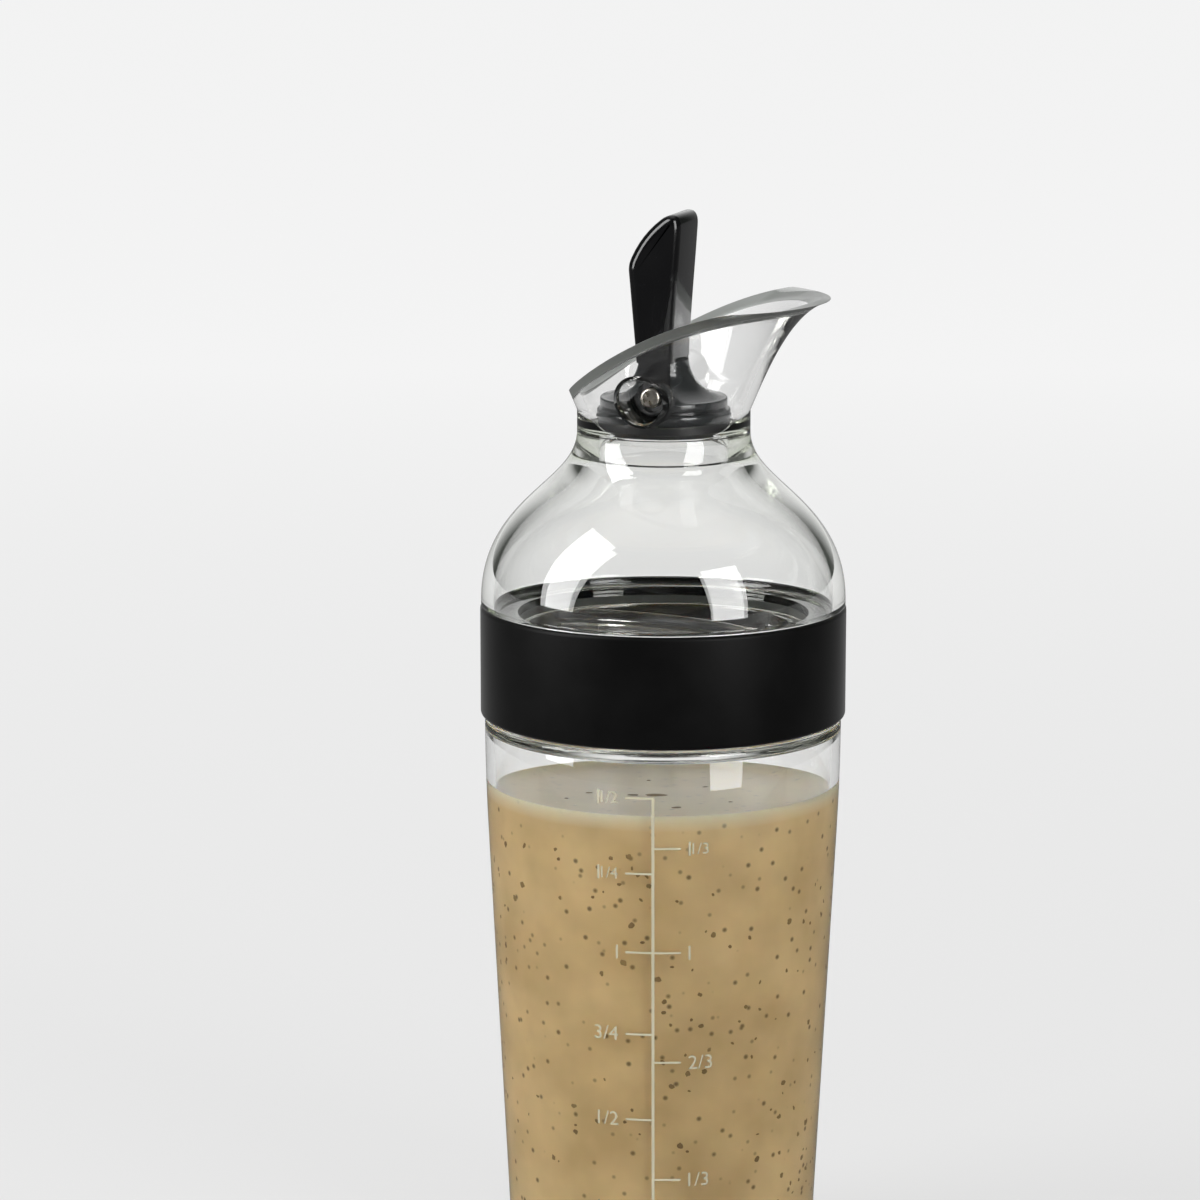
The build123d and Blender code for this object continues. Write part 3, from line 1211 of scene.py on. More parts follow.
@dataclass
class Dressing:
    """The dressing that fills the container, with its herb flakes."""

    container: Container
    level: float = 108.0
    meniscus: float = 1.6
    soak: float = 0.3
    clearance: float = 0.2
    flake_count: int = 360
    flake_grain: float = 0.4
    flake_unevenness: float = 0.5
    flake_sizes: tuple[float, float, float] = (0.25, 0.8, 0.38)
    flake_slimness: tuple[float, float] = (0.5, 1.0)
    flake_half: float = 0.08
    flake_relief: float = 0.02
    floating_half: float = 0.12
    floating_turn: float = math.radians(15)
    crowd_height: float = 18.0
    crowd_share: float = 0.42
    seed: int = 7
    floating: tuple[tuple[float, float, float, float, float], ...] = (
        (-15.4, -2.0, 0.8, 0.5, 10),
        (-6.3, -4.0, 1.3, 0.8, 0),
        (-1.4, -4.0, 2.4, 1.3, -8),
        (2.8, -18.0, 1.1, 0.7, 30),
        (9.0, 6.0, 0.6, 0.5, 40),
        (-20.0, -9.0, 0.5, 0.4, 70),
        (14.0, -12.0, 0.5, 0.4, 15),
        (-3.0, 14.0, 0.6, 0.4, 60),
    )

    def wall_radius(self, height: float) -> float:
        """Radius of the dressing's side, just inside the plastic's inner face."""
        return self.container.outer_radius(height) - self.container.wall + self.soak

    def build(self, liquid: Material, herbs: Material) -> None:
        """Build the body of dressing and its flakes.

        Args:
            liquid: The dressing's finish.
            herbs: The flakes' finish.
        """
        c = self.container
        bottom = c.floor - self.clearance
        foot = self.wall_radius(bottom)
        edge = self.wall_radius(self.level)
        outline = Outline()
        outline.line((0, bottom), (foot, bottom), (edge, self.level))
        outline.curve(
            (edge - self.meniscus / 4, self.level),
            (edge - self.meniscus, self.level - self.meniscus / 2),
            (edge - 2 * self.meniscus, self.level - self.meniscus),
            (edge - 4 * self.meniscus, self.level - self.meniscus),
            steps=8,
        )
        outline.line((0, self.level - self.meniscus))
        outline.round_corner((foot, bottom), c.floor_round, steps=8)
        target = Body.CONTAINER, Slot.DRESSING
        finish_piece("dressing_body", turn(outline), liquid, *target)
        finish_piece("herb_flakes", self.flakes(), herbs, *target)

    def add_flake(self, shape: BMesh, place: Matrix, size: tuple[float, ...]) -> None:
        """Add one flat, slightly uneven flake.

        Args:
            shape: The shape to add to.
            place: The flake's place and turn.
            size: Half of its extent along each axis.
        """
        flake = bmesh.ops.create_icosphere(
            shape, subdivisions=2, radius=1, matrix=place @ Matrix.Diagonal((*size, 1))
        )
        middle = place.translation
        for vert in flake["verts"]:
            away = vert.co - middle
            uneven = noise.noise(vert.co / self.flake_grain)
            vert.co = middle + away * (1 + self.flake_unevenness * uneven)

    def flakes(self) -> BMesh:
        """Scatter flat herb flakes against the wall and float a few on the surface.

        Returns:
            All flakes in one shape.
        """
        draw = random.Random(self.seed)
        shape = bmesh.new()
        lowest = self.container.floor_round
        added = 0
        while added < self.flake_count:
            height = lowest + (self.level - 2 * lowest) * draw.random()
            azimuth = draw.uniform(-math.pi, math.pi)
            around = (math.sin(azimuth), math.cos(azimuth))
            crowd = noise.noise(Vector((*around, height / self.crowd_height)))
            if draw.random() > self.crowd_share + crowd:
                continue
            size = draw.triangular(*self.flake_sizes)
            out = self.wall_radius(height) + self.flake_relief
            spot = Matrix.Rotation(azimuth, 4, "Z") @ MOVE((0, -out, height))
            turned = Matrix.Rotation(draw.uniform(0, math.pi), 4, "Y")
            slim = size * draw.uniform(*self.flake_slimness)
            self.add_flake(shape, spot @ turned, (size, self.flake_half, slim))
            added += 1
        surface = self.level - self.meniscus
        facing = Matrix.Rotation(self.floating_turn, 4, "Z")
        for right, away, long, short, angle in self.floating:
            spot = facing @ MOVE((right, away, surface))
            turned = Matrix.Rotation(math.radians(angle), 4, "Z")
            self.add_flake(shape, spot @ turned, (long, short, self.floating_half))
        return shape


@dataclass
class Lid:
    """The clear dome with its skirt, the soft band and the sealing ring."""

    skirt_wall: float = 1.3
    skirt_outer_radius: float = 36.5
    ledge_thickness: float = 1.8
    ledge_inner_radius: float = 30.6
    base_radius: float = 38.3
    base_edge: float = 1.0
    base_round: float = 0.4
    neck_radius: float = 18.1
    bore_radius: float = 16.243
    wall: float = 2.6
    spigot_length: float = 6.0
    outer_base_reach: float = 21.3
    outer_neck_reach: float = 11.5
    inner_base_reach: float = 19.0
    inner_neck_reach: float = 6.5
    band_inner_radius: float = 36.55
    band_thickness: float = 1.95
    band_round: float = 0.9

    def dome_outline(self) -> Outline:
        """Draw the skirt, the sealing ledge and the S-shaped dome.

        Returns:
            The closed outline.
        """
        joint = node_top("lid_dome")
        skirt_bottom = node_bottom("lid_dome")
        skirt_top = node_top("grip_band")
        ledge_bottom = node_top("lid_gasket")
        ledge_top = ledge_bottom + self.ledge_thickness
        edge_top = skirt_top + self.base_edge
        bore_bottom = joint - self.spigot_length
        inner_base = self.base_radius - self.wall
        skirt_inner = self.skirt_outer_radius - self.skirt_wall
        outline = Outline()
        outline.line((self.bore_radius, bore_bottom), (self.bore_radius, joint))
        outline.curve(
            (self.neck_radius, joint),
            (self.neck_radius, joint - self.outer_neck_reach),
            (self.base_radius, edge_top + self.outer_base_reach),
            (self.base_radius, edge_top),
            steps=56,
        )
        outline.line(
            (self.base_radius, skirt_top),
            (self.skirt_outer_radius, skirt_top),
            (self.skirt_outer_radius, skirt_bottom),
            (skirt_inner, skirt_bottom),
            (skirt_inner, ledge_bottom),
            (self.ledge_inner_radius, ledge_bottom),
            (self.ledge_inner_radius, ledge_top),
            (inner_base, ledge_top),
        )
        outline.curve(
            (inner_base, edge_top),
            (inner_base, edge_top + self.inner_base_reach),
            (self.bore_radius, bore_bottom - self.inner_neck_reach),
            (self.bore_radius, bore_bottom),
            steps=56,
        )
        outline.points.pop()
        outline.round_corner((self.base_radius, skirt_top), self.base_round, steps=3)
        outline.round_corner((inner_base, ledge_top), self.ledge_thickness)
        return outline

    def band_outline(self) -> Outline:
        """Draw the band's rounded section.

        Returns:
            The closed outline.
        """
        bottom, top = node_bottom("grip_band"), node_top("grip_band")
        outer = self.band_inner_radius + self.band_thickness
        outline = Outline()
        outline.line(
            (self.band_inner_radius, bottom),
            (outer, bottom),
            (outer, top),
            (self.band_inner_radius, top),
        )
        outline.round_corner((outer, bottom), self.band_round)
        outline.round_corner((outer, top), self.band_round)
        return outline

    def build(self, plastic: Material, rubber: Material, silicone: Material) -> None:
        """Build the dome and the band, and dress the sealing ring.

        Args:
            plastic: The dome's finish.
            rubber: The band's finish.
            silicone: The sealing ring's finish.
        """
        dome, band = turn(self.dome_outline()), turn(self.band_outline())
        finish_piece("dome_shell", dome, plastic, Body.LID, Slot.CLEAR_LID, "lid_dome")
        finish_piece("soft_band", band, rubber, Body.LID, Slot.BAND, "grip_band")
        dress_node("lid_gasket", silicone)


def dress_node(node: str, material: Material) -> None:
    """Give a CAD node its finish."""
    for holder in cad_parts[node].material_slots:
        holder.material = material


def pivot_height() -> float:
    """Height of the line that the stopper rocks about, in millimetres."""
    return (node_bottom("pivot_screws") + node_top("pivot_screws")) / 2


@dataclass
class Spout:
    """The clear pouring collar: spigot, ball seat, slanted bell and screw pockets."""

    spigot_length: float = 6.0
    spigot_wall: float = 1.55
    spigot_press: float = 0.1
    seat_radius: float = 16.686
    ring_radius: float = 18.1
    ring_height: float = 4.4
    wall: float = 1.9
    lip_radius: float = 34.8
    lip_rise: float = 27.8
    lip_edge: float = 1.0
    outer_foot: tuple[float, float] = (3.4, 8.1)
    outer_lip: tuple[float, float] = (8.3, 2.3)
    inner_foot: tuple[float, float] = (3.3, 8.2)
    inner_lip: tuple[float, float] = (9.0, 1.9)
    rim: tuple[tuple[float, float], ...] = (
        (-19.2, 8.0),
        (0.0, 20.5),
        (14.7, 26.4),
        (34.8, 28.6),
    )
    rim_bevel: float = 2.1
    rim_bevel_fade: float = 9.0
    rim_round: float = 0.22
    rim_steps: int = 4
    halvings: int = 24
    bell_steps: int = 44
    seat_steps: int = 8
    core_steps: int = 20
    core_count: int = 15
    pocket_face: float = 8.8
    pocket_floor: float = 1.1
    pocket_radius: float = 3.4
    pocket_wall: float = 1.0
    pocket_taper: float = math.radians(9)
    screw_hole_radius: float = 1.2

    def __post_init__(self) -> None:
        """Work out the two curves of the bell from the frame's joint height."""
        self.joint = node_top("lid_dome")
        self.pivot = pivot_height()
        ring_top = self.joint + self.ring_height
        lip = self.joint + self.lip_rise
        seat_top = ring_top + self.wall / 2
        foot, end = Vector((self.ring_radius, ring_top)), Vector((self.lip_radius, lip))
        handles = foot + Vector(self.outer_foot), end - Vector(self.outer_lip)
        self.outer = [foot, *handles, end]
        foot, end = self.seat_at(seat_top), end + Vector((0, self.lip_edge))
        handles = foot + Vector(self.inner_foot), end - Vector(self.inner_lip)
        self.inner = [foot, *handles, end]

    def seat_at(self, height: float) -> Vector:
        """Find the ball seat's radius at a height."""
        rise = height - self.pivot
        return Vector((math.sqrt(self.seat_radius**2 - rise**2), height))

    def rim_line(self) -> tuple[tuple[float, float], ...]:
        """Give the rim's control points: toward the lip, and height."""
        return tuple((reach, self.joint + rise) for reach, rise in self.rim)

    def rim_height(self, reach: float) -> float:
        """Find the rim's height at a distance towards the lip, on a smooth cubic.

        Args:
            reach: Distance from the axis towards the lip.

        Returns:
            The rim's height.
        """
        height = self.joint
        for place, rise in self.rim:
            others = [other for other, _ in self.rim if other != place]
            height += rise * math.prod((reach - o) / (place - o) for o in others)
        return height

    def meet_rim(self, curve: list[Vector], azimuth: float, bevel: float) -> float:
        """Find how far along a bell curve the slanted rim cuts it off.

        Args:
            curve: The four ends and handles of the curve.
            azimuth: Angle from the lip.
            bevel: How far below the rim line the curve stops.

        Returns:
            The share of the curve that stays.
        """
        low, high = 0.0, 1.0
        for _ in range(self.halvings):
            middle = (low + high) / 2
            point = on_curve(curve, middle)
            reach = point.x * math.cos(azimuth)
            fade = min(1.0, (self.lip_radius - reach) / self.rim_bevel_fade)
            if point.y < self.rim_height(reach) - bevel * fade:
                low = middle
            else:
                high = middle
        return high

    def section(self, azimuth: float) -> list[Vector]:
        """Draw the collar's closed section at an angle from the lip.

        Args:
            azimuth: Angle from the lip.

        Returns:
            Its points, as distance from the axis and height.
        """
        spigot_bottom = self.joint - self.spigot_length
        seat = self.seat_at(self.joint)
        spigot_outer = seat.x + self.spigot_wall + self.spigot_press
        points = [
            Vector((seat.x, spigot_bottom)),
            Vector((spigot_outer, spigot_bottom)),
            Vector((spigot_outer, self.joint)),
            Vector((self.ring_radius, self.joint)),
        ]
        outer_share = self.meet_rim(self.outer, azimuth, 0)
        inner_share = self.meet_rim(self.inner, azimuth, self.rim_bevel)
        shares = [step / self.bell_steps for step in range(self.bell_steps + 1)]
        rise = [on_curve(self.outer, outer_share * share) for share in shares]
        fall = [on_curve(self.inner, inner_share * share) for share in shares[::-1]]
        top, edge = rise.pop(), fall.pop(0)
        size = self.rim_round, self.rim_steps
        points += rise
        points += round_between(top, rise[-1] - top, edge - top, *size)
        points += round_between(edge, top - edge, fall[0] - edge, *size)
        points += fall
        seat_top, steps = self.inner[0].y, self.seat_steps
        points += [
            self.seat_at(seat_top + (self.joint - seat_top) * step / steps)
            for step in range(1, steps + 1)
        ]
        return points

    def bell(self) -> BMesh:
        """Spin the section, then give each point its place under the slanted rim.

        Returns:
            The bell with its spigot and its seat.
        """
        shape = bmesh.new()
        station = shape.verts.layers.int.new("station")
        corners = []
        for index, (out, up) in enumerate(self.section(0)):
            corners.append(shape.verts.new((out, 0, up)))
            corners[-1][station] = index
        spin_loop(shape, corners)
        sections: dict[int, list[Vector]] = {}
        for vert in shape.verts:
            azimuth = math.atan2(vert.co.y, vert.co.x)
            step = round(azimuth / math.tau * TURN_STEPS)
            if step not in sections:
                sections[step] = self.section(azimuth)
            out, up = sections[step][vert[station]]
            vert.co = (out * math.cos(azimuth), out * math.sin(azimuth), up)
        return clean(shape)

    def core(self) -> BMesh:
        """Fill the collar up to the middle of its wall, to trim the bosses.

        Returns:
            The filled shape.
        """
        outline = Outline()
        middle = (self.ring_radius + self.inner[0].x) / 2
        outline.line((0, self.joint), (middle, self.joint), (middle, self.outer[0].y))
        outline.points += [
            (on_curve(self.outer, share) + on_curve(self.inner, share)) / 2
            for share in (step / self.core_steps for step in range(self.core_count))
        ]
        outline.line((0, outline.points[-1].y))
        return turn(outline)

    def build(self, plastic: Material) -> None:
        """Build the collar with its two screw pockets.

        Args:
            plastic: The collar's finish.
        """
        spread = math.tan(self.pocket_taper)
        face, end, pivot = self.pocket_face, self.lip_radius, self.pivot
        floor, inner = face + self.pocket_floor, self.pocket_radius
        boss, hole = inner + self.pocket_wall, self.screw_hole_radius
        bosses = side_rods(face, end, pivot, (boss, boss + spread * (end - face)))
        pockets = side_rods(floor, end, pivot, (inner, inner + spread * (end - floor)))
        holes = side_rods(face - 1, floor + 1, pivot, (hole, hole), 32)
        trimmed = combine(bosses, self.core(), Way.KEEP_COMMON)
        collar = combine(self.bell(), trimmed, Way.JOIN)
        for opening in (pockets, holes):
            collar = combine(collar, opening, Way.CUT)
        target = Body.LID, Slot.CLEAR_SPOUT
        finish_piece("pouring_collar", collar, plastic, *target, "spout_collar")


@dataclass
class Stopper:
    """The rocking stopper: stem, seal, thumb lever and two screws."""

    stem_radius: float = 5.2
    flange_radius: float = 13.35
    flange_thickness: float = 1.8
    flange_drop: float = 0.6
    edge_round: float = 0.5
    flare_radius: float = 12.6
    flare_foot: tuple[float, float] = (3.1, 0.8)
    flare_stem: tuple[float, float] = (0.4, 5.0)
    groove: float = 0.4
    groove_depth: float = 0.8
    disc_radius: float = 14.0
    disc_thickness: float = 2.9
    boss_radius: float = 9.0
    bead_radius: float = 10.0
    bead_thickness: float = 0.9
    seal_thickness: float = 2.3
    yoke_rise: float = 7.0
    notch_radius: float = 4.8
    notch_face: float = 8.6
    notch_taper: float = math.radians(10)
    ear_inner: float = 6.6
    ear_thickness: float = 2.0
    ear_radius: float = 3.1
    ear_gap: float = 0.05
    half_width: float = 8.6
    paddle_foot: tuple[float, float] = (-4.0, 3.7)
    waist: tuple[float, float] = (4.0, 20.0)
    front: tuple[float, float] = (5.3, 33.1)
    tip: tuple[float, float] = (5.7, 39.2)
    back: tuple[float, float] = (-5.8, 26.9)
    waist_reach: float = 6.0
    front_lean: float = 0.5
    front_reach: float = 8.0
    crown_bulge: float = 1.8
    tip_round: float = 2.6
    side_round: float = 2.0
    side_steps: int = 8
    ear_round: float = 0.35
    head_radius: float = 2.1
    head_height: float = 1.3
    head_round: float = 0.6
    shank_radius: float = 1.1
    shank_inner: float = 4.6
    recess_length: float = 3.0
    recess_width: float = 0.85
    recess_depth: float = 1.1
    screw_turn: float = math.radians(20)

    def __post_init__(self) -> None:
        """Read the pivot's height and the screws' reach from the frame."""
        self.pivot = pivot_height()
        self.yoke = self.pivot + self.yoke_rise
        self.head_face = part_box("pivot_screws")[1].y / MM

    def stem_outline(self) -> Outline:
        """Draw the bead, boss, disc, groove, flange, flare and stem.

        Returns:
            The closed outline.
        """
        flange_top = self.pivot - self.flange_drop
        flange_bottom = flange_top - self.flange_thickness
        disc_top = flange_bottom - self.groove
        disc_bottom = disc_top - self.disc_thickness
        seal_bottom = disc_bottom - self.seal_thickness
        bead_bottom = seal_bottom - self.bead_thickness
        outline = Outline()
        outline.line((0, self.yoke), (0, bead_bottom))
        for radius, bottom, top in (
            (self.bead_radius, bead_bottom, seal_bottom),
            (self.boss_radius, seal_bottom, disc_bottom),
            (self.disc_radius, disc_bottom, disc_top),
            (self.flange_radius - self.groove_depth, disc_top, flange_bottom),
            (self.flange_radius, flange_bottom, flange_top),
        ):
            outline.line((radius, bottom), (radius, top))
        outline.curve(
            (self.flare_radius, flange_top),
            (self.flare_radius - self.flare_foot[0], flange_top + self.flare_foot[1]),
            (self.stem_radius + self.flare_stem[0], self.yoke - self.flare_stem[1]),
            (self.stem_radius, self.yoke),
        )
        for radius, low, high in (
            (self.flange_radius, flange_bottom, flange_top),
            (self.disc_radius, disc_bottom, disc_top),
        ):
            outline.round_corner((radius, high), self.edge_round, steps=4)
            outline.round_corner((radius, low), self.edge_round, steps=4)
        return outline

    def build_stem(self, plastic: Material) -> None:
        """Build the stem with its notches round the pockets and slots for the ears.

        Args:
            plastic: The stem's finish.
        """
        notch, end = self.notch_radius, self.disc_radius + self.edge_round
        wide = notch + math.tan(self.notch_taper) * (end - self.notch_face)
        slot = self.ear_radius + self.ear_gap
        slot_face = self.ear_inner - self.ear_gap
        low = Vector((-slot, slot_face, self.pivot))
        high = Vector((slot, end, self.yoke + self.ear_round))
        stem = turn(self.stem_outline())
        for space in (
            side_rods(self.notch_face, end, self.pivot, (notch, wide)),
            side_rods(slot_face, end, self.pivot, (slot, slot)),
            side_blocks(low, high),
        ):
            stem = combine(stem, space, Way.CUT)
        target = Body.STOPPER, Slot.STOPPER
        finish_piece("stopper_body", stem, plastic, *target, "stopper_stem")

    def paddle_outline(self) -> Outline:
        """Draw the lever from the side: toward the lip, and height.

        Returns:
            The closed outline.
        """
        up = self.pivot
        tip = Vector((self.tip[0], up + self.tip[1]))
        back = Vector((self.back[0], up + self.back[1]))
        run = back - tip
        bulge = Vector((-run.y, run.x)).normalized() * -self.crown_bulge * 4 / 3
        outline = Outline()
        outline.curve(
            (self.paddle_foot[1], self.yoke),
            (self.paddle_foot[1], up + self.waist[1] - self.waist_reach),
            (self.front[0] - self.front_lean, up + self.front[1] - self.front_reach),
            (self.front[0], up + self.front[1]),
            steps=12,
        )
        outline.curve(
            tuple(tip),
            tuple(tip + run / 3 + bulge),
            tuple(back - run / 3 + bulge),
            tuple(back),
            steps=10,
        )
        outline.line((self.paddle_foot[0], self.yoke))
        blend_corner(outline, back, self.tip_round)
        blend_corner(outline, tip, self.tip_round)
        return outline

    def paddle(self) -> BMesh:
        """Stack copies of the lever's outline, drawn in towards both sides.

        Returns:
            The lever without its ears.
        """
        points = self.paddle_outline().points
        inward = []
        for index, point in enumerate(points):
            run = points[(index + 1) % len(points)] - points[index - 1]
            way = Vector((-run.y, run.x)).normalized()
            if abs(point.y - self.yoke) < MERGE_DISTANCE:
                way = Vector((-math.copysign(1, point.x), 0))
            inward.append(way)
        size, steps = self.side_round, self.side_steps
        rise = []
        for angle in (math.pi / 2 * step / steps for step in range(steps + 1)):
            across = self.half_width - size * (1 - math.sin(angle))
            rise.append((size * (1 - math.cos(angle)), across))
        layers = [(inset, -across) for inset, across in reversed(rise)] + rise
        rings = []
        for inset, across in layers:
            pairs = zip(points, inward, strict=True)
            places = [point + way * inset for point, way in pairs]
            rings.append([(place.x, across, place.y) for place in places])
        shape = bmesh.new()
        loft(shape, rings)
        return clean(shape)

    def build_lever(self, plastic: Material) -> None:
        """Build the lever with rounded sides and join the two ears.

        Args:
            plastic: The lever's finish.
        """
        inner, size = self.ear_inner, self.ear_radius
        outer = inner + self.ear_thickness
        low = Vector((-size, inner, self.pivot))
        high = Vector((size, outer, self.yoke + self.side_round))
        ears = side_rods(inner, outer, self.pivot, (size, size))
        ears = combine(ears, side_blocks(low, high), Way.JOIN)
        lever = combine(self.paddle(), ears, Way.JOIN)
        finish_piece("thumb_lever", lever, plastic, Body.STOPPER, Slot.LEVER, "lever")

    def build_screws(self, steel: Material) -> None:
        """Turn one pan-head screw, cut its cross recess and set one on each side.

        Args:
            steel: The screws' finish.
        """
        under_head = self.head_face - self.head_height
        outline = Outline()
        outline.line(
            (0, self.shank_inner),
            (self.shank_radius, self.shank_inner),
            (self.shank_radius, under_head),
            (self.head_radius, under_head),
            (self.head_radius, self.head_face),
            (0, self.head_face),
        )
        outline.round_corner((self.head_radius, self.head_face), self.head_round)
        long, wide = self.recess_length / 2, self.recess_width / 2
        bottom, top = self.head_face - self.recess_depth, self.head_face + 1
        screw = turn(outline, 48)
        for reach in ((long, wide), (wide, long)):
            slot = bmesh.new()
            size = Matrix.Diagonal((2 * reach[0], 2 * reach[1], top - bottom, 1))
            place = MOVE((0, 0, (top + bottom) / 2))
            bmesh.ops.create_cube(slot, size=1, matrix=place @ size)
            screw = combine(screw, slot, Way.CUT)
        mesh = to_mesh("screw", screw)
        mesh.transform(Matrix.Rotation(self.screw_turn, 4, "Z"))
        mesh.transform(MOVE((0, 0, self.pivot)) @ Matrix.Rotation(math.pi / 2, 4, "X"))
        pair = bmesh.new()
        pair.from_mesh(mesh)
        mesh.transform(Matrix.Rotation(math.pi, 4, "Z"))
        pair.from_mesh(mesh)
        bpy.data.meshes.remove(mesh)
        target = Body.STOPPER, Slot.STEEL
        finish_piece("pan_head_screws", pair, steel, *target, "pivot_screws")

    def build(
        self, stem: Material, plastic: Material, steel: Material, silicone: Material
    ) -> None:
        """Build the stem, the lever and the screws, and dress the seal.

        Args:
            stem: The stem's finish, a black lightened to blue-grey by painted
                reflection.
            plastic: The lever's finish.
            steel: The screws' finish.
            silicone: The seal's finish.
        """
        self.build_stem(stem)
        self.build_lever(plastic)
        self.build_screws(steel)
        dress_node("stopper_gasket", silicone)


@dataclass
class Studio:
    """Camera, pale floor, soft lights and surroundings."""

    camera_azimuth: float = math.radians(15)
    camera_distance: float = 846.0
    camera_height: float = 304.0
    target_height: float = 146.0
    target_left: float = 13.3
    lens: float = 122.7
    sensor: float = 36.0
    view_metres: float = 50.0
    floor_radius: float = 40000.0
    background: str = "#f8f8f8"
    floor_colour: str = "#ececec"
    floor_glow: float = 0.9
    floor_mirrored: str = "#6c6c6c"
    floor_fade: float = 60.0
    dim_far: float = 500.0
    floor_far: float = 1500.0
    floor_near: str = "#e1e1e1"
    side_shade: str = "#3a3d39"
    side_shares: tuple[float, float] = (0.12, 0.5)
    side_course: tuple[float, float] = (-0.3, 0.1)
    room_course: tuple[float, float] = (0.15, -0.3)
    room_front: str = "#e4e4e4"
    mirrored_front: str = "#101010"
    bounces: int = 24

    def build_camera(self) -> None:
        """Place the camera of the photograph."""
        data = bpy.data.cameras.new("camera")
        data.lens = self.lens
        data.sensor_width = self.sensor
        data.clip_end = self.view_metres
        camera = add_object("camera", data)
        side, ahead = math.sin(self.camera_azimuth), math.cos(self.camera_azimuth)
        away, left = self.camera_distance, self.target_left
        eye = Vector((away * side, -away * ahead, self.camera_height))
        target = Vector((-left * ahead, -left * side, self.target_height))
        camera.location = eye * MM
        camera.rotation_euler = (target - eye).to_track_quat("-Z", "Y").to_euler()
        bpy.context.scene.camera = camera

    def turned(self, tree: NodeTree, way: NodeSocket) -> dict[str, NodeSocket]:
        """Split a place or direction into X, Y and Z, with Y away from the camera.

        Args:
            tree: The node tree that gets the nodes.
            way: The place or direction.

        Returns:
            Its three parts, by name.
        """
        inputs = {"Vector": way, "Rotation": (0, 0, -self.camera_azimuth)}
        node = add_node(tree, "ShaderNodeMapping", {"vector_type": "POINT"}, inputs)
        return split(tree, node.outputs["Vector"])

    def floor_material(self) -> Material:
        """Make pale paper that is dim where the bottle mirrors it.

        The strip in front of the bottle, from floor_fade to dim_far, is dim through
        its clear walls as well.

        Returns:
            The material.
        """
        material, tree = new_material("pale paper sweep")
        inputs = {"Color": linear(self.floor_colour)}
        paper = add_node(tree, "ShaderNodeBsdfDiffuse", inputs=inputs)
        place = self.turned(tree, object_space(tree))
        # Painted shade: the paper's glow darkens from the background far off to
        # floor_near by the camera, standing in for the falloff of light on the paper.
        far = remap(tree, place["Y"], (0.0, self.floor_far * MM))
        tone = ramp(tree, far, (0.0, self.floor_near), (1.0, self.background))
        glow = add_node(tree, "ShaderNodeEmission", inputs={"Color": tone})
        inputs = {"Color": linear(self.floor_mirrored)}
        dim = add_node(tree, "ShaderNodeEmission", inputs=inputs)
        middle = (self.dim_far + self.floor_fade) / 2
        half = (self.dim_far - self.floor_fade) / 2
        offset = compute(tree, "ADD", place["Y"], middle * MM)
        distance = compute(tree, "ABSOLUTE", offset)
        beyond = remap(tree, distance, (half * MM, (half + self.floor_fade) * MM))
        path = add_node(tree, "ShaderNodeLightPath").outputs
        through = compute(tree, "MULTIPLY", path["Is Transmission Ray"], beyond)
        seen = compute(tree, "MAXIMUM", path["Is Camera Ray"], through)
        inputs = {0: self.floor_glow, 1: paper.outputs["BSDF"], 2: glow.outputs[0]}
        lit = add_node(tree, "ShaderNodeMixShader", inputs=inputs)
        inputs = {0: seen, 1: dim.outputs[0], 2: lit.outputs[0]}
        surface = add_node(tree, "ShaderNodeMixShader", inputs=inputs)
        inputs = {"Surface": surface.outputs[0]}
        add_node(tree, "ShaderNodeOutputMaterial", inputs=inputs)
        return material

    def build_floor(self) -> None:
        """Lay the pale floor."""
        shape = bmesh.new()
        size = self.floor_radius * MM
        bmesh.ops.create_circle(shape, cap_ends=True, segments=96, radius=size)
        mesh = to_mesh("floor", shape)
        mesh.materials.append(self.floor_material())
        add_object("floor", mesh)

    def build_light(
        self,
        name: str,
        azimuth: float,
        elevation: float,
        distance: float,
        size: tuple[float, float],
        power: float,
    ) -> None:
        """Place one soft box.

        Args:
            name: Name of the lamp.
            azimuth: Degrees from -Y towards +X, seen from the bottle.
            elevation: Degrees above the bottle's middle.
            distance: Distance from the bottle's middle.
            size: Width and height of the lamp.
            power: Power in watts.
        """
        data = bpy.data.lights.new(name, "AREA")
        data.shape = "RECTANGLE"
        data.size, data.size_y = (edge * MM for edge in size)
        data.energy = power
        lamp = add_object(name, data)
        around, up = math.radians(azimuth), math.radians(elevation)
        out = math.cos(up)
        way = Vector((out * math.sin(around), -out * math.cos(around), math.sin(up)))
        middle = Vector((0, 0, self.target_height))
        lamp.location = (middle + way * distance) * MM
        lamp.rotation_euler = way.to_track_quat("Z", "Y").to_euler()

    def build_world(self) -> None:
        """Surround the scene with pale light that gets greyer at the sides.

        The room behind the camera is pale through clear walls and dark in reflections.
        """
        world = bpy.data.worlds.new("pale studio")
        bpy.context.scene.world = world
        world.use_nodes = True
        tree = world.node_tree
        tree.nodes.clear()
        around = add_node(tree, "ShaderNodeTexCoord").outputs["Generated"]
        way = self.turned(tree, around)
        sideways = compute(tree, "ABSOLUTE", way["X"])
        ahead = remap(tree, way["Y"], self.side_course)
        off_axis = compute(tree, "MULTIPLY", sideways, ahead)
        low, high = self.side_shares
        shade = ramp(tree, off_axis, (low, self.background), (high, self.side_shade))
        near = remap(tree, way["Y"], self.room_course, course="SMOOTHSTEP")
        path = add_node(tree, "ShaderNodeLightPath").outputs
        front = blend(tree, path["Is Glossy Ray"], self.room_front, self.mirrored_front)
        room = blend(tree, near, shade, front)
        colour = blend(tree, path["Is Camera Ray"], room, self.background)
        sky = add_node(tree, "ShaderNodeBackground", inputs={"Color": colour})
        inputs = {"Surface": sky.outputs["Background"]}
        add_node(tree, "ShaderNodeOutputWorld", inputs=inputs)

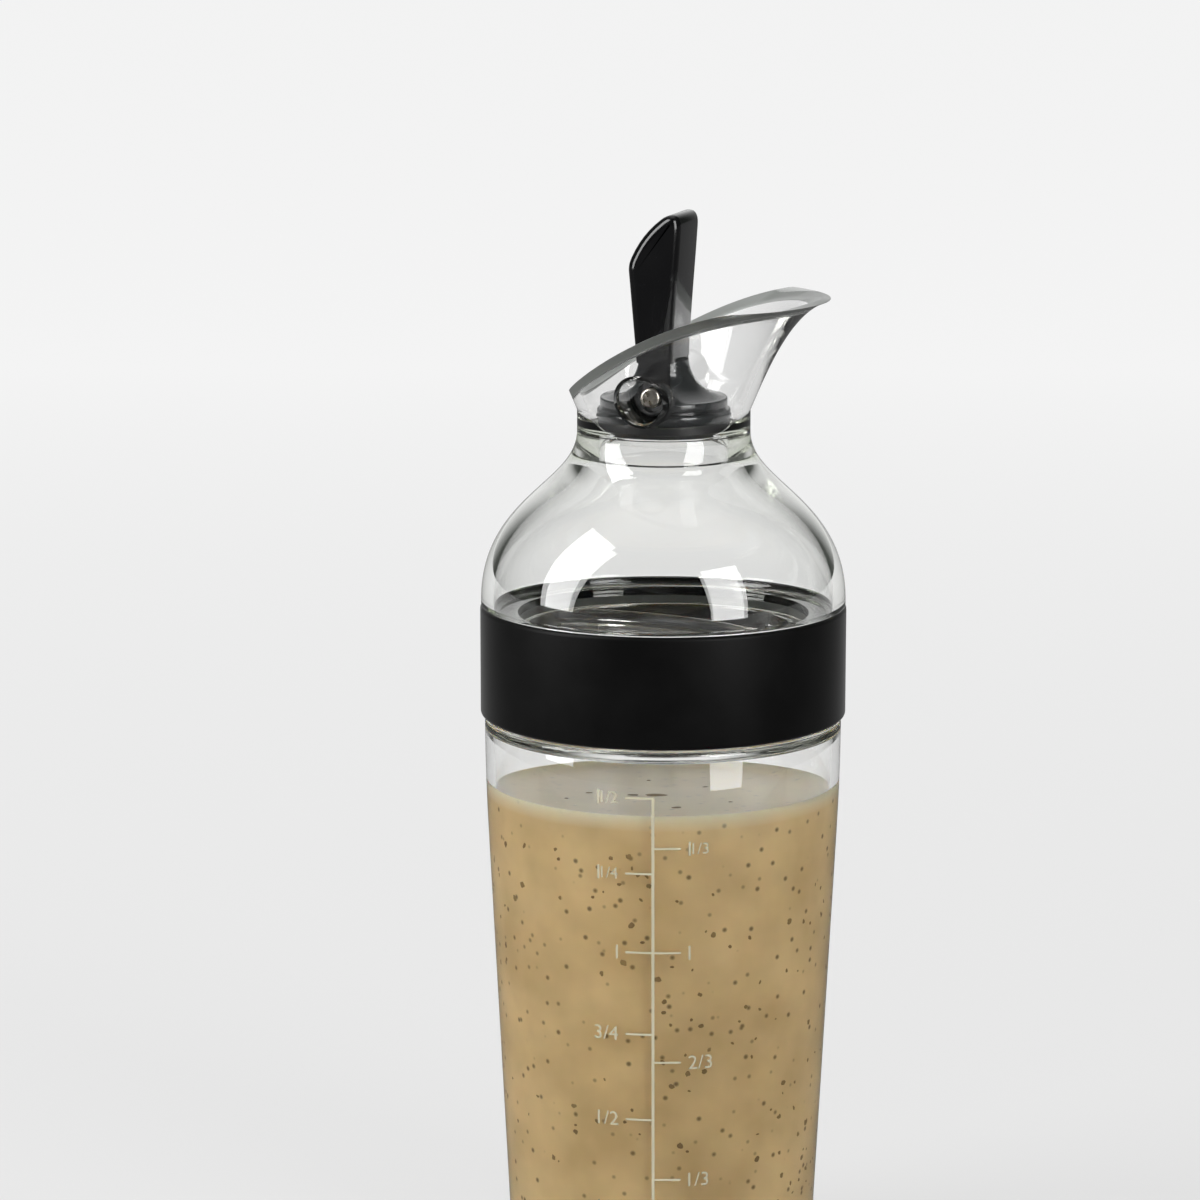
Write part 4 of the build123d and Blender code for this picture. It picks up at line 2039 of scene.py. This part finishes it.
    def build(self) -> None:
        """Build the whole studio."""
        self.build_camera()
        self.build_floor()
        self.build_world()
        self.build_light("left box", -56, 30, 1100, (480, 1250), 17.5)
        self.build_light("right box", 57, 19, 1100, (460, 880), 11.5)
        scene = bpy.context.scene
        scene.view_settings.view_transform = "Standard"
        # Thick clear edges reflect light inside themselves many times.
        scene.cycles.max_bounces = self.bounces
        scene.cycles.glossy_bounces = self.bounces
        scene.cycles.transmission_bounces = self.bounces


def main() -> None:
    """Build the bottle and its studio."""
    logging.basicConfig(level=logging.INFO, format="%(name)s: %(message)s")
    Studio().build()
    body_plastic = ClearPlastic("moulded clear copolyester container").material()
    dome_plastic = ClearPlastic("moulded clear copolyester dome", density=14).material()
    spout = Spout()
    spout_plastic = ClearPlastic(
        "moulded clear copolyester collar",
        tint="#b4b6a8",
        density=22,
        rim=SatinRim(spout.rim_line(), spout.rim_bevel),
    ).material()
    black_plastic = MouldedPolymer(
        "polished black ABS", "#060607", "#0a0a0b", 0.1, 0.04, 1.2, 0.002, specular=0.4
    ).material()
    # The stem's blue-grey black is painted reflection: it stands in for the pale room
    # that the flange and disc mirror.
    stem_plastic_painted_grey = MouldedPolymer(
        "black ABS lightened by painted reflection", "#1f2324", "#282c2d", 0.14, 0.04, 1.2, 0.002, specular=0.6
    ).material()
    band_rubber = MouldedPolymer(
        "satin black thermoplastic elastomer",
        "#070707",
        "#0b0b0b",
        0.38,
        0.08,
        0.35,
        0.01,
        specular=0.08,
        sheen=0.4,
    ).material()
    silicone = MouldedPolymer(
        "matt grey silicone", "#4a4d4a", "#525552", 0.55, 0.1, 0.6, 0.01
    ).material()
    black_silicone = MouldedPolymer(
        "matt black silicone", "#101010", "#181818", 0.5, 0.1, 0.6, 0.01
    ).material()
    steel = PlatedSteel("nickel-plated steel").material()
    liquid = CreamyDressing("creamy dressing").material()
    herbs = MouldedPolymer(
        "dried herb flakes", "#86693f", "#9f8654", 0.6, 0.1, 0.3, 0.05
    ).material()
    ink = MouldedPolymer(
        "pale grey screen-printing ink", "#aaa48c", "#b3ad96", 0.6, 0.1, 0.3, 0.004
    ).material()
    container = Container()
    container.build(body_plastic)
    cup = 236.6
    cups = (
        Mark(cup / 4, -1, "1/4"),
        Mark(cup / 2, -1, "1/2"),
        Mark(cup * 3 / 4, -1, "3/4"),
        Mark(cup, -1, "1"),
        Mark(cup * 5 / 4, -1, "1", "1/4"),
        Mark(cup * 3 / 2, -1, "1", "1/2"),
        Mark(cup / 3, 1, "1/3"),
        Mark(cup * 2 / 3, 1, "2/3"),
        Mark(cup, 1, "1"),
        Mark(cup * 4 / 3, 1, "1", "1/3"),
    )
    millilitres = tuple(Mark(volume, 1, str(volume)) for volume in range(50, 400, 50))
    front, back = math.radians(12), math.radians(192)
    MeasuringScale("cup_scale", container, cups, front).build(ink)
    MeasuringScale("millilitre_scale", container, millilitres, back).build(ink)
    neck = (33.0, 34.6, 124.0, Body.CONTAINER, Slot.CLEAR_BODY)
    skirt = (35.4, 33.8, 127.0, Body.LID, Slot.CLEAR_LID)
    Threads("neck_threads", *neck).build(body_plastic)
    Threads("skirt_threads", *skirt).build(dome_plastic)
    Dressing(container).build(liquid, herbs)
    Lid().build(dome_plastic, band_rubber, silicone)
    spout.build(spout_plastic)
    Stopper().build(stem_plastic_painted_grey, black_plastic, steel, black_silicone)


if __name__ == "__main__":
    main()
